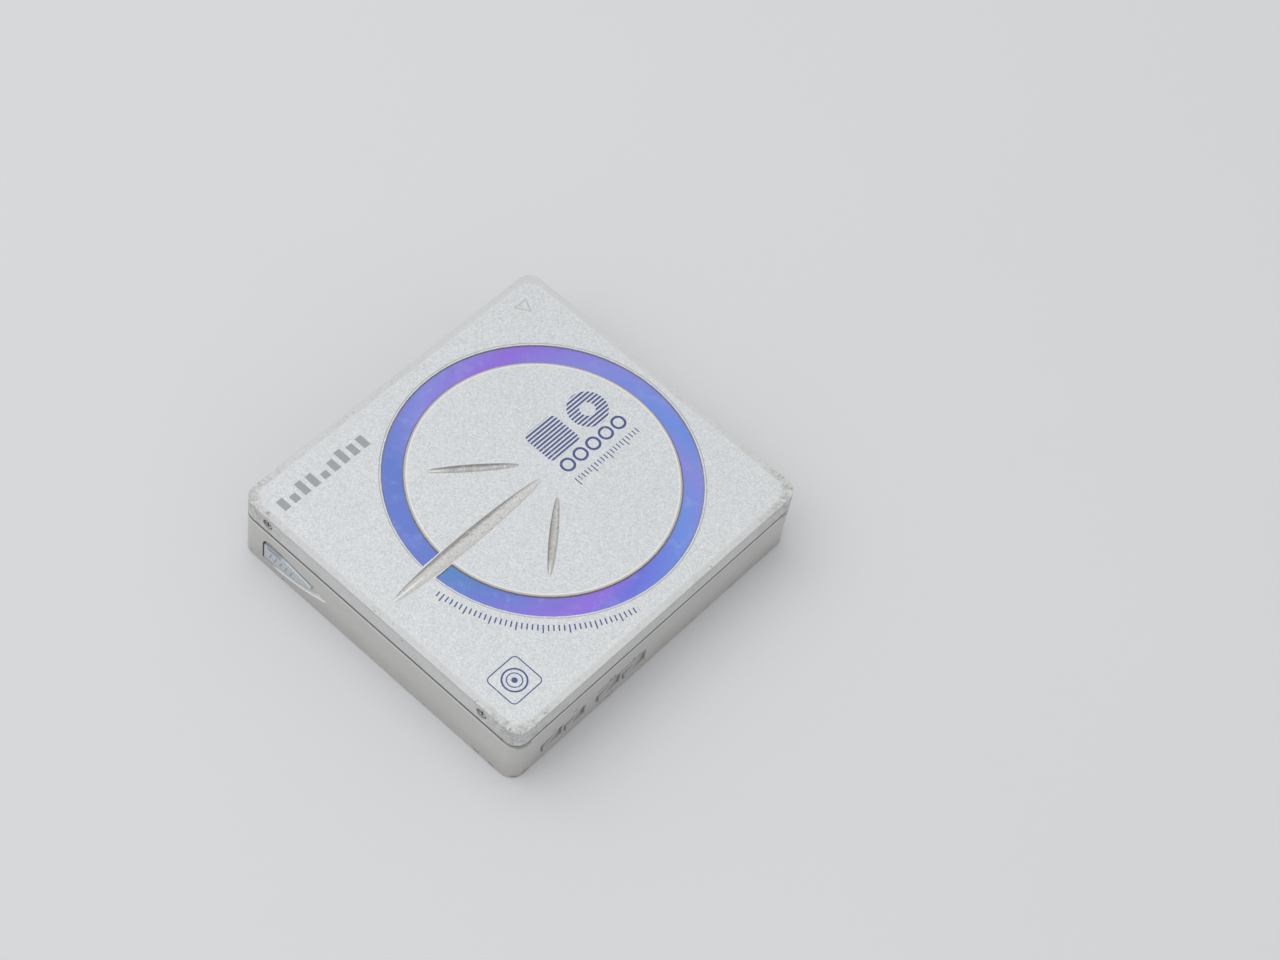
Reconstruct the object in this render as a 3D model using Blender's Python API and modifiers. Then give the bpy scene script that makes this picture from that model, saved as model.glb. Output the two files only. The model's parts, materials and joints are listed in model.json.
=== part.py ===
"""Slim portable disc player with a hinged lid, for discs in square cartridges.

Metres, +Z up. The origin is the centre of the underside. The lid opens along +Y
and turns about pins near the -Y side; the release slide is on the -X side.
"""
import math

import bmesh
import bpy
from mathutils import Matrix, Vector

# Body
BODY_WIDTH = 0.0788
BODY_DEPTH = 0.0725
BODY_HEIGHT = 0.0170
CORNER_RADIUS = 0.0030
INNER_CORNER = 0.00075
SEAM_HEIGHT = 0.0120
SEAM_GAP = 0.0003
FIT_GAP = 0.00015
SEAT_GAP = 0.000025
OVERRUN = 0.0010
EMBED = 0.0003
WELD_DISTANCE = 0.000002
SHARP_ANGLE = 35

# Lid
LID_WALL = 0.0010
LID_TOP = 0.0011
LID_EDGE_RADIUS = 0.0015
MOUTH_TOP = 0.0154
SEAM_CHAMFER = 0.0002
LID_SCREW_HEIGHT = 0.0148
LID_SCREW_YS = (0.02907, -0.02705)
LID_BOSS_WIDTH = 0.0036
LID_BOSS_DROP = 0.0027
SCREW_HEAD_RADIUS = 0.0011
SCREW_HEAD_THICKNESS = 0.0004
SCREW_SHANK_RADIUS = 0.0005
SCREW_SLOT_WIDTH = 0.0003
SCREW_SLOT_LENGTH = 0.0013
SCREW_SLOT_DEPTH = 0.0002
LID_SCREW_SINK = 0.0002

# Ring and grooves on the lid
RING_CENTRE_X = 0.00535
RING_OUTER_RADIUS = 0.03103
RING_INNER_RADIUS = 0.02701
RING_DEPTH = 0.0006
RING_THICKNESS = 0.0003
RING_GAP_WIDTH = 0.0037
RING_STEPS = 72
GROOVE_DEPTH = 0.0006
GROOVE_POWER = 0.5
GROOVE_STEPS = 14
GROOVE_SIDES = 16
LONG_GROOVE_START_X = -0.03545
LONG_GROOVE_END_X = 0.00475
LONG_GROOVE_WIDTH = 0.0031
SHORT_GROOVE_NEAR = (0.00395, 0.0050)
SHORT_GROOVE_FAR = (-0.01035, 0.0164)
SHORT_GROOVE_WIDTH = 0.0017

# Base
BASE_WALL = 0.0012
BASE_EDGE_RADIUS = 0.0015
FLOOR_THICKNESS = 0.0016
FLOOR_LEDGE = 0.0007
COVER_INSET = 0.0034
OPENING_INSET = 0.0060
COVER_THICKNESS = 0.0007
COVER_LIFT = 0.0001
HINGE_LIP = 0.00015
HINGE_LIP_DROP = 0.0012
CORNER_RELIEF_START = 0.0046
CORNER_RELIEF_DEPTH = 0.0014
POST_RADIUS = 0.0016
REAR_POST = (0.0344, -0.0310)
FRONT_POST = (0.0359, 0.0113)
DAMPER_HEIGHT = 0.0014

# Cartridge bay
CARTRIDGE_WIDTH = 0.0720
CARTRIDGE_DEPTH = 0.0680
CARTRIDGE_THICKNESS = 0.0050
HOLDER_SHEET = 0.00035
HOLDER_SIDE_GAP = 0.0003
HOLDER_FLOOR = 0.0099
HOLDER_LIP_WIDTH = 0.0014
HOLDER_WALL_CUTBACK = 0.0022
HOLDER_STOP_WIDTH = 0.0600
HOLDER_STOP_HEIGHT = 0.0040
HOLDER_OVERLAP = 0.0001
HOLDER_WINDOW_LEFT = -0.0330
HOLDER_WINDOW_HALF = 0.0105
HOLDER_WINDOW_RADIUS = 0.0040
SPRING_STRIP = 0.00015
STRIP_STEPS = 6
BAY_SPRING_X = 0.0200
BAY_SPRING_LENGTH = 0.0260
BAY_SPRING_WIDTH = 0.0040
LIFT_SPRING_X = 0.0345
LIFT_SPRING_Y = -0.0150
LIFT_SPRING_LENGTH = 0.0110
LIFT_SPRING_WIDTH = 0.0030

# Hinge
HINGE_Y = -0.03235
HINGE_Z = 0.0149
HINGE_EAR_RADIUS = 0.00075
HINGE_EAR_THICKNESS = 0.0006
HINGE_EAR_X = 0.03695
HINGE_PIN_RADIUS = 0.0004
HINGE_BORE_GAP = 0.0001
HINGE_PIN_LENGTH = 0.0014
EAR_FOOT_REAR = 0.0015
EAR_FOOT_FRONT = 0.0048
EAR_HEAD_ANGLES = (20, 200)

# Chassis and disc drive
CHASSIS_TOP = 0.0094
CHASSIS_SHEET = 0.0005
CHASSIS_FRONT_Y = 0.0145
CHASSIS_CORNER = 0.0034
SPINDLE_X = 0.0020
HUB_RADIUS = 0.0046
HUB_HOLE_GAP = 0.0006
HUB_BEVEL = 0.0003
HUB_TOP = 0.0109
HUB_THICKNESS = 0.0013
MAGNET_RADIUS = 0.0028
MAGNET_THICKNESS = 0.0003
SPINDLE_TIP_RADIUS = 0.0009
SPINDLE_TIP = 0.0117
SHAFT_RADIUS = 0.00075
SHAFT_FOOT = 0.0042
MOTOR_RADIUS = 0.0085
MOTOR_HEIGHT = 0.0038
RUNNING_GAP = 0.0001

# Optical sled
SLED_HOME_X = -0.0135
SLED_TRAVEL = 0.0145
SLED_BACK = 0.0058
SLED_FRONT = 0.0045
SLED_BOTTOM = 0.0034
SLED_TOP = 0.0085
SLED_HALF_WIDTH = 0.0100
LENS_SLOT_HALF = 0.0027
LENS_SLOT_REACH = 0.0038
LENS_RADIUS = 0.0019
LENS_TOP = 0.0097
ROD_Z = 0.0062
MAIN_ROD_Y = -0.0135
MAIN_ROD_RADIUS = 0.0010
SUB_ROD_Y = 0.0125
SUB_ROD_RADIUS = 0.00075
ROD_LEFT = -0.0366
SUB_ROD_LEFT = -0.0338
ROD_RIGHT = 0.0034
ROD_CLEARANCE = 0.00008
BUSH_RADIUS = 0.0019
FORK_HEIGHT = 0.0036
FORK_REACH = 0.0012
FORK_HALF_LENGTH = 0.0024
TAB_THICKNESS = 0.0010
TAB_WALL = 0.0007
TAB_INSET = 0.0005
LEAD_SCREW_Y = -0.0185
LEAD_SCREW_Z = 0.0054
LEAD_SCREW_RADIUS = 0.0009
NUT_GAP = 0.0002
NUT_LENGTH = 0.0040
NUT_HEIGHT = 0.0014
GEAR_X = 0.0036
GEAR_WIDTH = 0.0010
GEAR_MODULE = 0.00025
GEAR_TEETH = 24
PINION_TEETH = 10
PINION_WIDTH = 0.0014
TOOTH_ROOT_SHARE = 0.50
TOOTH_TIP_SHARE = 0.22
ADDENDUM_SHARE = 0.80
DEDENDUM_SHARE = 1.20
SLED_MOTOR_X = 0.0062
SLED_MOTOR_LENGTH = 0.0105
SLED_MOTOR_RADIUS = 0.0030
MOTOR_SHAFT_RADIUS = 0.0004
SADDLE_WALL = 0.0006
SADDLE_WIDTH = 0.0050

# Electronics
BOARD_BOTTOM = 0.0009
BOARD_THICKNESS = 0.0006
BOARD_HALF_WIDTH = 0.0326
BOARD_REAR_Y = -0.0294
BOARD_FRONT_Y = 0.0140
BOARD_CORNER = 0.0012
CHIP_GAP = 0.00005
CHIPS = {
    "signal_chip": ((0.0190, 0.0020), (0.0100, 0.0100, 0.0012)),
    "power_chip": ((-0.0130, -0.0240), (0.0060, 0.0060, 0.0010)),
}
JACK_RADIUS = 0.0030
JACK_NOSE_RADIUS = 0.0026
JACK_LENGTH = 0.0120
PHONES_Y = -0.0240
PHONES_BORE_RADIUS = 0.00178
POWER_Y = -0.0120
POWER_BORE_RADIUS = 0.0020
POWER_PIN_RADIUS = 0.00065
JACK_Z = 0.0056

# Battery
BATTERY_LENGTH = 0.0670
BATTERY_WIDTH = 0.0170
BATTERY_THICKNESS = 0.0060
BATTERY_EDGE = 0.0012
BATTERY_Y = 0.0240
BATTERY_Z = 0.0053
BATTERY_RIGHT_X = 0.0353
BATTERY_CAP_RADIUS = 0.0022
BATTERY_CAP_HEIGHT = 0.0006
CASE_WALL = 0.0004
CASE_GAP = 0.00015
CASE_OVERHANG = 0.0024
DOOR_RADIUS = 0.00075
DOOR_HINGE_Y = 0.0144
DOOR_LENGTH = 0.0190
DOOR_HEIGHT = 0.0064
DOOR_GAP = 0.0002
DOOR_PIN_RADIUS = 0.00022
DOOR_PIN_GAP = 0.00008
DOOR_PIN_LENGTH = 0.0076
DOOR_NAIL_DEPTH = 0.0004
DOOR_NAIL_INSET = 0.0020
DOOR_NAIL_WIDTH = 0.0009
DOOR_NAIL_HALF = 0.0016
CONTACT_SHEET = 0.0003
CONTACT_WIDTH = 0.0040
CONTACT_LEAF_HALF = 0.0022

# Keys on the -Y side
KEY_GROUP_LEFTS = (-0.03195, -0.01675)
KEY_GROUP_LENGTHS = (0.0120, 0.0137)
KEY_NAMES = (("volume_down_key", "volume_up_key"), ("previous_key", "play_key"))
KEY_BOTTOM = 0.0028
KEY_LEFT_TOP = 0.0049
KEY_RIGHT_TOP = 0.0062
KEY_GAP = 0.0002
KEY_SPACING = 0.0006
KEY_PROUD = 0.00045
KEY_SUNK = 0.0005
KEY_TRAVEL = 0.0004
KEY_FLANGE = 0.0005
KEY_FLANGE_SPREAD = 0.0002
SWITCH_SIZE = 0.0026
SWITCH_DEPTH = 0.0008
SWITCH_PLUNGER_RADIUS = 0.0006
SWITCH_PLUNGER_HEIGHT = 0.0004
KEY_BOARD_THICKNESS = 0.0006
KEY_BOARD_TOP = 0.0074

# Release slide on the -X side
DISH_BACK_Y = 0.0303
DISH_TOP = 0.0088
DISH_TOP_CORNER = 0.0016
DISH_BOTTOM = 0.0023
DISH_BEND_Y = 0.0270
DISH_TIP_Y = 0.0132
DISH_TIP_Z = 0.0058
DISH_POWER = 1.9
DISH_STEPS = 6
DISH_SHOULDER_Y = 0.0165
DISH_SHOULDER_Z = 0.0070
DISH_MARK_Y = 0.0166
DISH_MARK_Z = 0.0064
DISH_MARK_RADIUS = 0.00035
DISH_DEPTH = 0.0006
SLIDE_TRAVEL = 0.0020
SLIDE_PLATE = 0.0006
SLIDE_PAD_SINK = 0.0001
SLIDE_PAD_GAP = 0.00025
PAD_TOP = 0.0068
PAD_STEP_Y = 0.0255
PAD_STEP_Z = 0.0069
PAD_SHOULDER_Y = 0.0235
PAD_SHOULDER_Z = 0.00745
PAD_TIP_Y = 0.01745
PAD_TIP_Z = 0.0063
SLIDE_NECK_Y = 0.0212
SLIDE_NECK_LENGTH = 0.0050
SLIDE_NECK_Z = 0.0046
SLIDE_NECK_HEIGHT = 0.0014
SLIDE_SLOT_CORNER = 0.00035
SLIDE_PLATE_BACK_Y = 0.0310
SLIDE_PLATE_FRONT_Y = 0.0150
SLIDE_PLATE_TOP = 0.0094
SLIDE_PLATE_BOTTOM = 0.0026
CLAW_Y = 0.0270
CLAW_WIDTH = 0.0022
CLAW_TOP = 0.0112
CATCH_Y = 0.0240
CATCH_LENGTH = 0.0024
CATCH_HEIGHT = 0.0020
CATCH_THICKNESS = 0.0004
CATCH_NOSE = 0.0003
CATCH_NOSE_HEIGHT = 0.0005
SLIDE_LUG_Y = 0.0200
SLIDE_LUG_LENGTH = 0.0012
SLIDE_LUG_REACH = 0.0016
SLIDE_SPRING_RADIUS = 0.0005
SLIDE_SPRING_WIRE = 0.00012
SLIDE_SPRING_Z = 0.0050
SLIDE_SPRING_COILS = 6
SLIDE_SPRING_LENGTH = 0.0080
COIL_POINTS = 10

# Hold switch on the +X side
HOLD_Y = 0.0020
HOLD_TRAVEL = 0.0020
HOLD_KNOB_LENGTH = 0.0034
HOLD_KNOB_HEIGHT = 0.0016
HOLD_PROUD = 0.0002
HOLD_PLATE_LENGTH = 0.0085
HOLD_PLATE_HEIGHT = 0.0030
HOLD_PLATE_THICKNESS = 0.0006
HOLD_Z = 0.0068
HOLD_UNIT_DEPTH = 0.0016

# Facets
ARC_STEPS = 6
COARSE_STEPS = 3
ROUND_SIDES = 24
SMALL_SIDES = 12
ROD_SIDES = 16
EDGE_SEGMENTS = 4

# Looks: colour, roughness, metallic
SILVER_PAINT = ((0.80, 0.82, 0.83), 0.38, 0.35)
GREY_PAINT = ((0.56, 0.56, 0.56), 0.42, 0.30)
BLUE_FOIL = ((0.14, 0.20, 0.80), 0.30, 0.60)
STEEL = ((0.62, 0.62, 0.60), 0.35, 1.00)
DARK_SCREW = ((0.30, 0.29, 0.27), 0.40, 1.00)
BRASS = ((0.70, 0.52, 0.22), 0.35, 1.00)
BLACK_PLASTIC = ((0.03, 0.03, 0.035), 0.50, 0.00)
WHITE_PLASTIC = ((0.75, 0.75, 0.72), 0.50, 0.00)
BLUE_SILVER = ((0.62, 0.66, 0.70), 0.25, 0.20)
GREEN_BOARD = ((0.02, 0.16, 0.07), 0.45, 0.00)
RUBBER = ((0.04, 0.04, 0.04), 0.85, 0.00)
LENS_GLASS = ((0.55, 0.65, 0.85), 0.05, 0.00)
BATTERY_WRAP = ((0.20, 0.35, 0.30), 0.45, 0.10)
MAGNET = ((0.12, 0.12, 0.12), 0.35, 0.80)


def clear_scene():
    for obj in list(bpy.data.objects):
        bpy.data.objects.remove(obj)


def make_collection(name):
    collection = bpy.data.collections.new(name)
    bpy.context.scene.collection.children.link(collection)
    return collection


clear_scene()
PARTS = make_collection("portable_disc_player")
CUTTERS = make_collection("cutters")
AXES = make_collection("joint_axes")


def paint(obj, look):
    """Give the object its own material."""
    colour, roughness, metallic = look
    material = bpy.data.materials.new(obj.name + "_finish")
    material.use_nodes = True
    shader = material.node_tree.nodes["Principled BSDF"]
    shader.inputs["Base Color"].default_value = (*colour, 1)
    shader.inputs["Roughness"].default_value = roughness
    shader.inputs["Metallic"].default_value = metallic
    obj.data.materials.clear()
    obj.data.materials.append(material)
    return obj


def keep(obj, look):
    """Make the object a piece of the player."""
    PARTS.objects.link(obj)
    return paint(obj, look)


def as_cutter(obj):
    CUTTERS.objects.link(obj)
    obj.display_type = "WIRE"
    obj.hide_render = True
    return obj


def add_boolean(target, tool, operation):
    if not tool.users_collection:
        as_cutter(tool)
    modifier = target.modifiers.new(tool.name, "BOOLEAN")
    modifier.operation = operation
    modifier.solver = "EXACT"
    modifier.object = tool
    return target


def cut(target, *tools):
    for tool in tools:
        add_boolean(target, tool, "DIFFERENCE")
    return target


def join(target, *tools):
    for tool in tools:
        add_boolean(target, tool, "UNION")
    return target


def turned_to(along):
    """Rotation that takes the drawing plane to the plane square to an axis."""
    if along == "X":
        return Matrix(((0, 0, 1), (1, 0, 0), (0, 1, 0))).to_4x4()
    if along == "Y":
        return Matrix(((1, 0, 0), (0, 0, -1), (0, 1, 0))).to_4x4()
    return Matrix.Identity(4)


def prism(name, outlines, low, high, along="Z"):
    """Straight-sided solid from closed outlines.

    Outlines are (x, y) for Z, (y, z) for X and (x, z) for Y.
    """
    if along == "Y":
        low, high = -high, -low
    curve = bpy.data.curves.new(name, "CURVE")
    curve.dimensions = "2D"
    curve.fill_mode = "BOTH"
    curve.extrude = (high - low) / 2
    for outline in outlines:
        spline = curve.splines.new("POLY")
        spline.points.add(len(outline) - 1)
        for point, (across, up) in zip(spline.points, outline):
            point.co = (across, up, 0, 1)
        spline.use_cyclic_u = True
    place = turned_to(along) @ Matrix.Translation((0, 0, (low + high) / 2))
    return curve_to_mesh(name, curve, place)


def curve_to_mesh(name, curve, place):
    source = bpy.data.objects.new(name + "_curve", curve)
    bpy.context.scene.collection.objects.link(source)
    source.matrix_world = place
    bpy.context.view_layer.update()
    evaluated = source.evaluated_get(bpy.context.evaluated_depsgraph_get())
    mesh = bpy.data.meshes.new_from_object(evaluated)
    mesh.transform(place)
    weld(mesh)
    bpy.data.objects.remove(source)
    return bpy.data.objects.new(name, mesh)


def weld(mesh):
    shape = bmesh.new()
    shape.from_mesh(mesh)
    bmesh.ops.remove_doubles(shape, verts=shape.verts, dist=WELD_DISTANCE)
    bmesh.ops.recalc_face_normals(shape, faces=shape.faces)
    shape.to_mesh(mesh)
    shape.free()


def box(name, low, high):
    """Block between two opposite corners."""
    low = Vector(low)
    high = Vector(high)
    mesh = bpy.data.meshes.new(name)
    shape = bmesh.new()
    bmesh.ops.create_cube(shape, size=1)
    size = Matrix.Diagonal((*(high - low), 1))
    shape.transform(Matrix.Translation((low + high) / 2) @ size)
    shape.to_mesh(mesh)
    shape.free()
    return bpy.data.objects.new(name, mesh)


def cylinder(name, centre, radius, length, along="Z", sides=ROUND_SIDES):
    """Round bar centred on a point."""
    mesh = bpy.data.meshes.new(name)
    shape = bmesh.new()
    sizes = {"radius1": radius, "radius2": radius, "depth": length}
    bmesh.ops.create_cone(shape, cap_ends=True, segments=sides, **sizes)
    shape.transform(Matrix.Translation(centre) @ turned_to(along))
    shape.to_mesh(mesh)
    shape.free()
    smooth(mesh)
    return bpy.data.objects.new(name, mesh)


def smooth(mesh):
    mesh.shade_smooth()
    mesh.set_sharp_from_angle(angle=math.radians(SHARP_ANGLE))


def turned(name, profile, centre, along="Z", sides=ROUND_SIDES):
    """Turned solid: (radius, height) points from the top of the axis to its foot."""
    mesh = bpy.data.meshes.new(name)
    shape = bmesh.new()
    points = [shape.verts.new((radius, 0, height)) for radius, height in profile]
    for first, second in zip(points, points[1:]):
        shape.edges.new((first, second))
    shape.to_mesh(mesh)
    shape.free()
    obj = bpy.data.objects.new(name, mesh)
    obj.matrix_world = Matrix.Translation(centre) @ turned_to(along)
    screw = obj.modifiers.new("turn", "SCREW")
    screw.axis = "Z"
    screw.steps = sides
    screw.render_steps = sides
    screw.use_merge_vertices = True
    screw.merge_threshold = WELD_DISTANCE
    screw.use_smooth_shade = True
    return obj


def round_edges(obj, segments, sizes):
    """Bevel the sharp edges whose two ends pass a test, each kind by its own width."""
    widest = max(width for width, picks in sizes)
    shape = bmesh.new()
    shape.from_mesh(obj.data)
    weight = shape.edges.layers.float.new("bevel_weight_edge")
    for edge in shape.edges:
        sharp = edge.calc_face_angle(0) > math.radians(SHARP_ANGLE)
        for width, picks in sizes:
            if sharp and all(picks(vertex.co) for vertex in edge.verts):
                edge[weight] = width / widest
    shape.to_mesh(obj.data)
    shape.free()
    bevel = obj.modifiers.new("rounding", "BEVEL")
    bevel.limit_method = "WEIGHT"
    bevel.width = widest
    bevel.segments = segments
    return obj


def arc(centre, radius, start, end, steps=ARC_STEPS):
    """Points along an arc, angles in degrees, both ends included."""
    points = []
    for step in range(steps + 1):
        angle = math.radians(start + (end - start) * step / steps)
        points.append((centre[0] + radius * math.cos(angle), centre[1] + radius * math.sin(angle)))
    return points


def rounded(low, high, radius, steps=ARC_STEPS):
    """Rectangle with round corners, from its low to its high corner."""
    left, bottom = low[0] + radius, low[1] + radius
    right, top = high[0] - radius, high[1] - radius
    points = arc((right, top), radius, 0, 90, steps)
    points += arc((left, top), radius, 90, 180, steps)
    points += arc((left, bottom), radius, 180, 270, steps)
    points += arc((right, bottom), radius, 270, 360, steps)
    return points


def body_outline(inset, steps=ARC_STEPS):
    """The player's plan, drawn in by an inset."""
    half_width = BODY_WIDTH / 2 - inset
    half_depth = BODY_DEPTH / 2 - inset
    radius = max(CORNER_RADIUS - inset, INNER_CORNER)
    return rounded((-half_width, -half_depth), (half_width, half_depth), radius, steps)


def circle(centre, radius, sides=ROUND_SIDES):
    return arc(centre, radius, 0, 360, sides)[:-1]


def joint_axis(name, place, pieces):
    """Empty on a joint's axis that carries the pieces that move with it."""
    axis = bpy.data.objects.new(name, None)
    axis.location = place
    AXES.objects.link(axis)
    bpy.context.view_layer.update()
    for piece in pieces:
        piece.parent = axis
        piece.matrix_parent_inverse = axis.matrix_world.inverted()
    return axis


# Places worked out from the sizes above
LID_FOOT = SEAM_HEIGHT + SEAM_GAP
LID_CEILING = BODY_HEIGHT - LID_TOP
LID_INNER_X = BODY_WIDTH / 2 - LID_WALL
BASE_INNER_X = BODY_WIDTH / 2 - BASE_WALL
BASE_INNER_Y = BODY_DEPTH / 2 - BASE_WALL
HOLDER_INNER_X = CARTRIDGE_WIDTH / 2 + HOLDER_SIDE_GAP
HOLDER_OUTER_X = HOLDER_INNER_X + HOLDER_SHEET
HOLDER_HALF_DEPTH = CARTRIDGE_DEPTH / 2 + HOLDER_SIDE_GAP
BAY_TOP = HOLDER_FLOOR + HOLDER_SHEET + CARTRIDGE_THICKNESS + 2 * RUNNING_GAP
CHASSIS_BOTTOM = CHASSIS_TOP - CHASSIS_SHEET


def side_name(side):
    return "left" if side < 0 else "right"


# Lid
def spindle_cutter(name, start, end, width):
    """Pointed groove tool: a long spindle, flattened, lying on the lid's top face."""
    start = Vector((*start, BODY_HEIGHT))
    end = Vector((*end, BODY_HEIGHT))
    length = (end - start).length
    profile = []
    for step in range(GROOVE_STEPS + 1):
        share = step / GROOVE_STEPS
        profile.append((width / 2 * math.sin(math.pi * share) ** GROOVE_POWER, length * (1 - share)))
    tool = turned(name, profile, (0, 0, 0), sides=GROOVE_SIDES)
    direction = (end - start).normalized()
    sideways = Vector((-direction.y, direction.x, 0))
    flatten = GROOVE_DEPTH / (width / 2)
    place = Matrix((sideways, Vector((0, 0, -1)), direction)).transposed().to_4x4()
    place = Matrix.Translation(start) @ Matrix.Diagonal((1, 1, flatten, 1)) @ place
    tool.matrix_world = place
    return tool


def ring_outline(growth):
    """The ring, open where the long groove crosses it."""
    centre = (RING_CENTRE_X, 0)
    outer = RING_OUTER_RADIUS + growth
    inner = RING_INNER_RADIUS - growth
    half_gap = RING_GAP_WIDTH / 2 - growth
    outer_end = 180 - math.degrees(math.asin(half_gap / outer))
    inner_end = 180 - math.degrees(math.asin(half_gap / inner))
    points = arc(centre, outer, -outer_end, outer_end, RING_STEPS)
    points += arc(centre, inner, inner_end, -inner_end, RING_STEPS)
    return points


def lid_shell():
    lid = prism("lid_shell", [body_outline(0)], LID_FOOT, BODY_HEIGHT)
    top_edge = (LID_EDGE_RADIUS, lambda co: co.z > LID_CEILING)
    foot_edge = (SEAM_CHAMFER, lambda co: co.z < LID_CEILING)
    round_edges(lid, EDGE_SEGMENTS, (top_edge, foot_edge))
    cut(lid, prism("lid_hollow", [body_outline(LID_WALL)], LID_FOOT - OVERRUN, LID_CEILING))
    for side in (-1, 1):
        for y in LID_SCREW_YS:
            name = "lid_boss_" + side_name(side) + ("_front" if y > 0 else "_rear")
            inner = side * (HOLDER_OUTER_X + FIT_GAP)
            outer = side * (LID_INNER_X + EMBED)
            low = (min(inner, outer), y - LID_BOSS_WIDTH / 2, LID_CEILING - LID_BOSS_DROP)
            high = (max(inner, outer), y + LID_BOSS_WIDTH / 2, LID_CEILING + EMBED)
            join(lid, box(name, low, high))
    cut(lid, box("lid_mouth", *mouth_corners(0, OVERRUN)))
    cut(lid, prism("ring_recess", [ring_outline(FIT_GAP)], BODY_HEIGHT - RING_DEPTH, BODY_HEIGHT + OVERRUN))
    start = (LONG_GROOVE_START_X, 0)
    cut(lid, spindle_cutter("long_groove", start, (LONG_GROOVE_END_X, 0), LONG_GROOVE_WIDTH))
    for side in (-1, 1):
        near = (SHORT_GROOVE_NEAR[0], side * SHORT_GROOVE_NEAR[1])
        far = (SHORT_GROOVE_FAR[0], side * SHORT_GROOVE_FAR[1])
        cut(lid, spindle_cutter("short_groove_" + side_name(side), far, near, SHORT_GROOVE_WIDTH))
        for y in LID_SCREW_YS:
            name = side_name(side) + ("_front" if y > 0 else "_rear")
            face = side * BODY_WIDTH / 2
            depth = 2 * (LID_SCREW_SINK + SCREW_HEAD_THICKNESS + FIT_GAP)
            head = SCREW_HEAD_RADIUS + FIT_GAP
            hole = SCREW_SHANK_RADIUS + FIT_GAP
            place = (face, y, LID_SCREW_HEIGHT)
            cut(lid, cylinder("lid_counterbore_" + name, place, head, depth, "X", ROUND_SIDES))
            reach = 2 * (face * side - HOLDER_INNER_X)
            cut(lid, cylinder("lid_screw_hole_" + name, place, hole, reach, "X", SMALL_SIDES))
    return keep(lid, SILVER_PAINT)


def mouth_corners(gap, extra):
    """Corners of the cartridge mouth in the +Y wall, drawn in by a gap."""
    half = HOLDER_INNER_X - gap
    low = (-half, BODY_DEPTH / 2 - LID_WALL - extra, LID_FOOT - extra)
    return low, (half, BODY_DEPTH / 2 + extra, MOUTH_TOP - gap)


def lid_ring():
    bottom = BODY_HEIGHT - RING_DEPTH
    ring = prism("lid_ring", [ring_outline(0)], bottom + RUNNING_GAP / 2, bottom + RING_THICKNESS)
    return keep(ring, BLUE_FOIL)


def screw_piece(name, place, facing, length, look):
    """Pan-head screw with a cross slot; facing is the way its head looks."""
    profile = [(0, 0), (SCREW_HEAD_RADIUS, 0), (SCREW_HEAD_RADIUS, -SCREW_HEAD_THICKNESS)]
    profile += [(SCREW_SHANK_RADIUS, -SCREW_HEAD_THICKNESS), (SCREW_SHANK_RADIUS, -length), (0, -length)]
    screw = turned(name, profile, place, sides=SMALL_SIDES)
    turn = Vector((0, 0, 1)).rotation_difference(Vector(facing)).to_matrix().to_4x4()
    screw.matrix_world = Matrix.Translation(place) @ turn
    half = SCREW_SLOT_LENGTH / 2
    thin = SCREW_SLOT_WIDTH / 2
    for index, (across, up) in enumerate(((half, thin), (thin, half))):
        low = (-across, -up, -SCREW_SLOT_DEPTH)
        slot = box(name + "_slot_" + str(index), low, (across, up, SCREW_SLOT_DEPTH))
        slot.matrix_world = screw.matrix_world
        cut(screw, slot)
    return keep(screw, look)


def lid_screws():
    screws = []
    for side in (-1, 1):
        for y in LID_SCREW_YS:
            name = "lid_screw_" + side_name(side) + ("_front" if y > 0 else "_rear")
            face = BODY_WIDTH / 2 - LID_SCREW_SINK
            place = (side * face, y, LID_SCREW_HEIGHT)
            length = face - HOLDER_INNER_X
            screws.append(screw_piece(name, place, (side, 0, 0), length, DARK_SCREW))
    return screws


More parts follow.
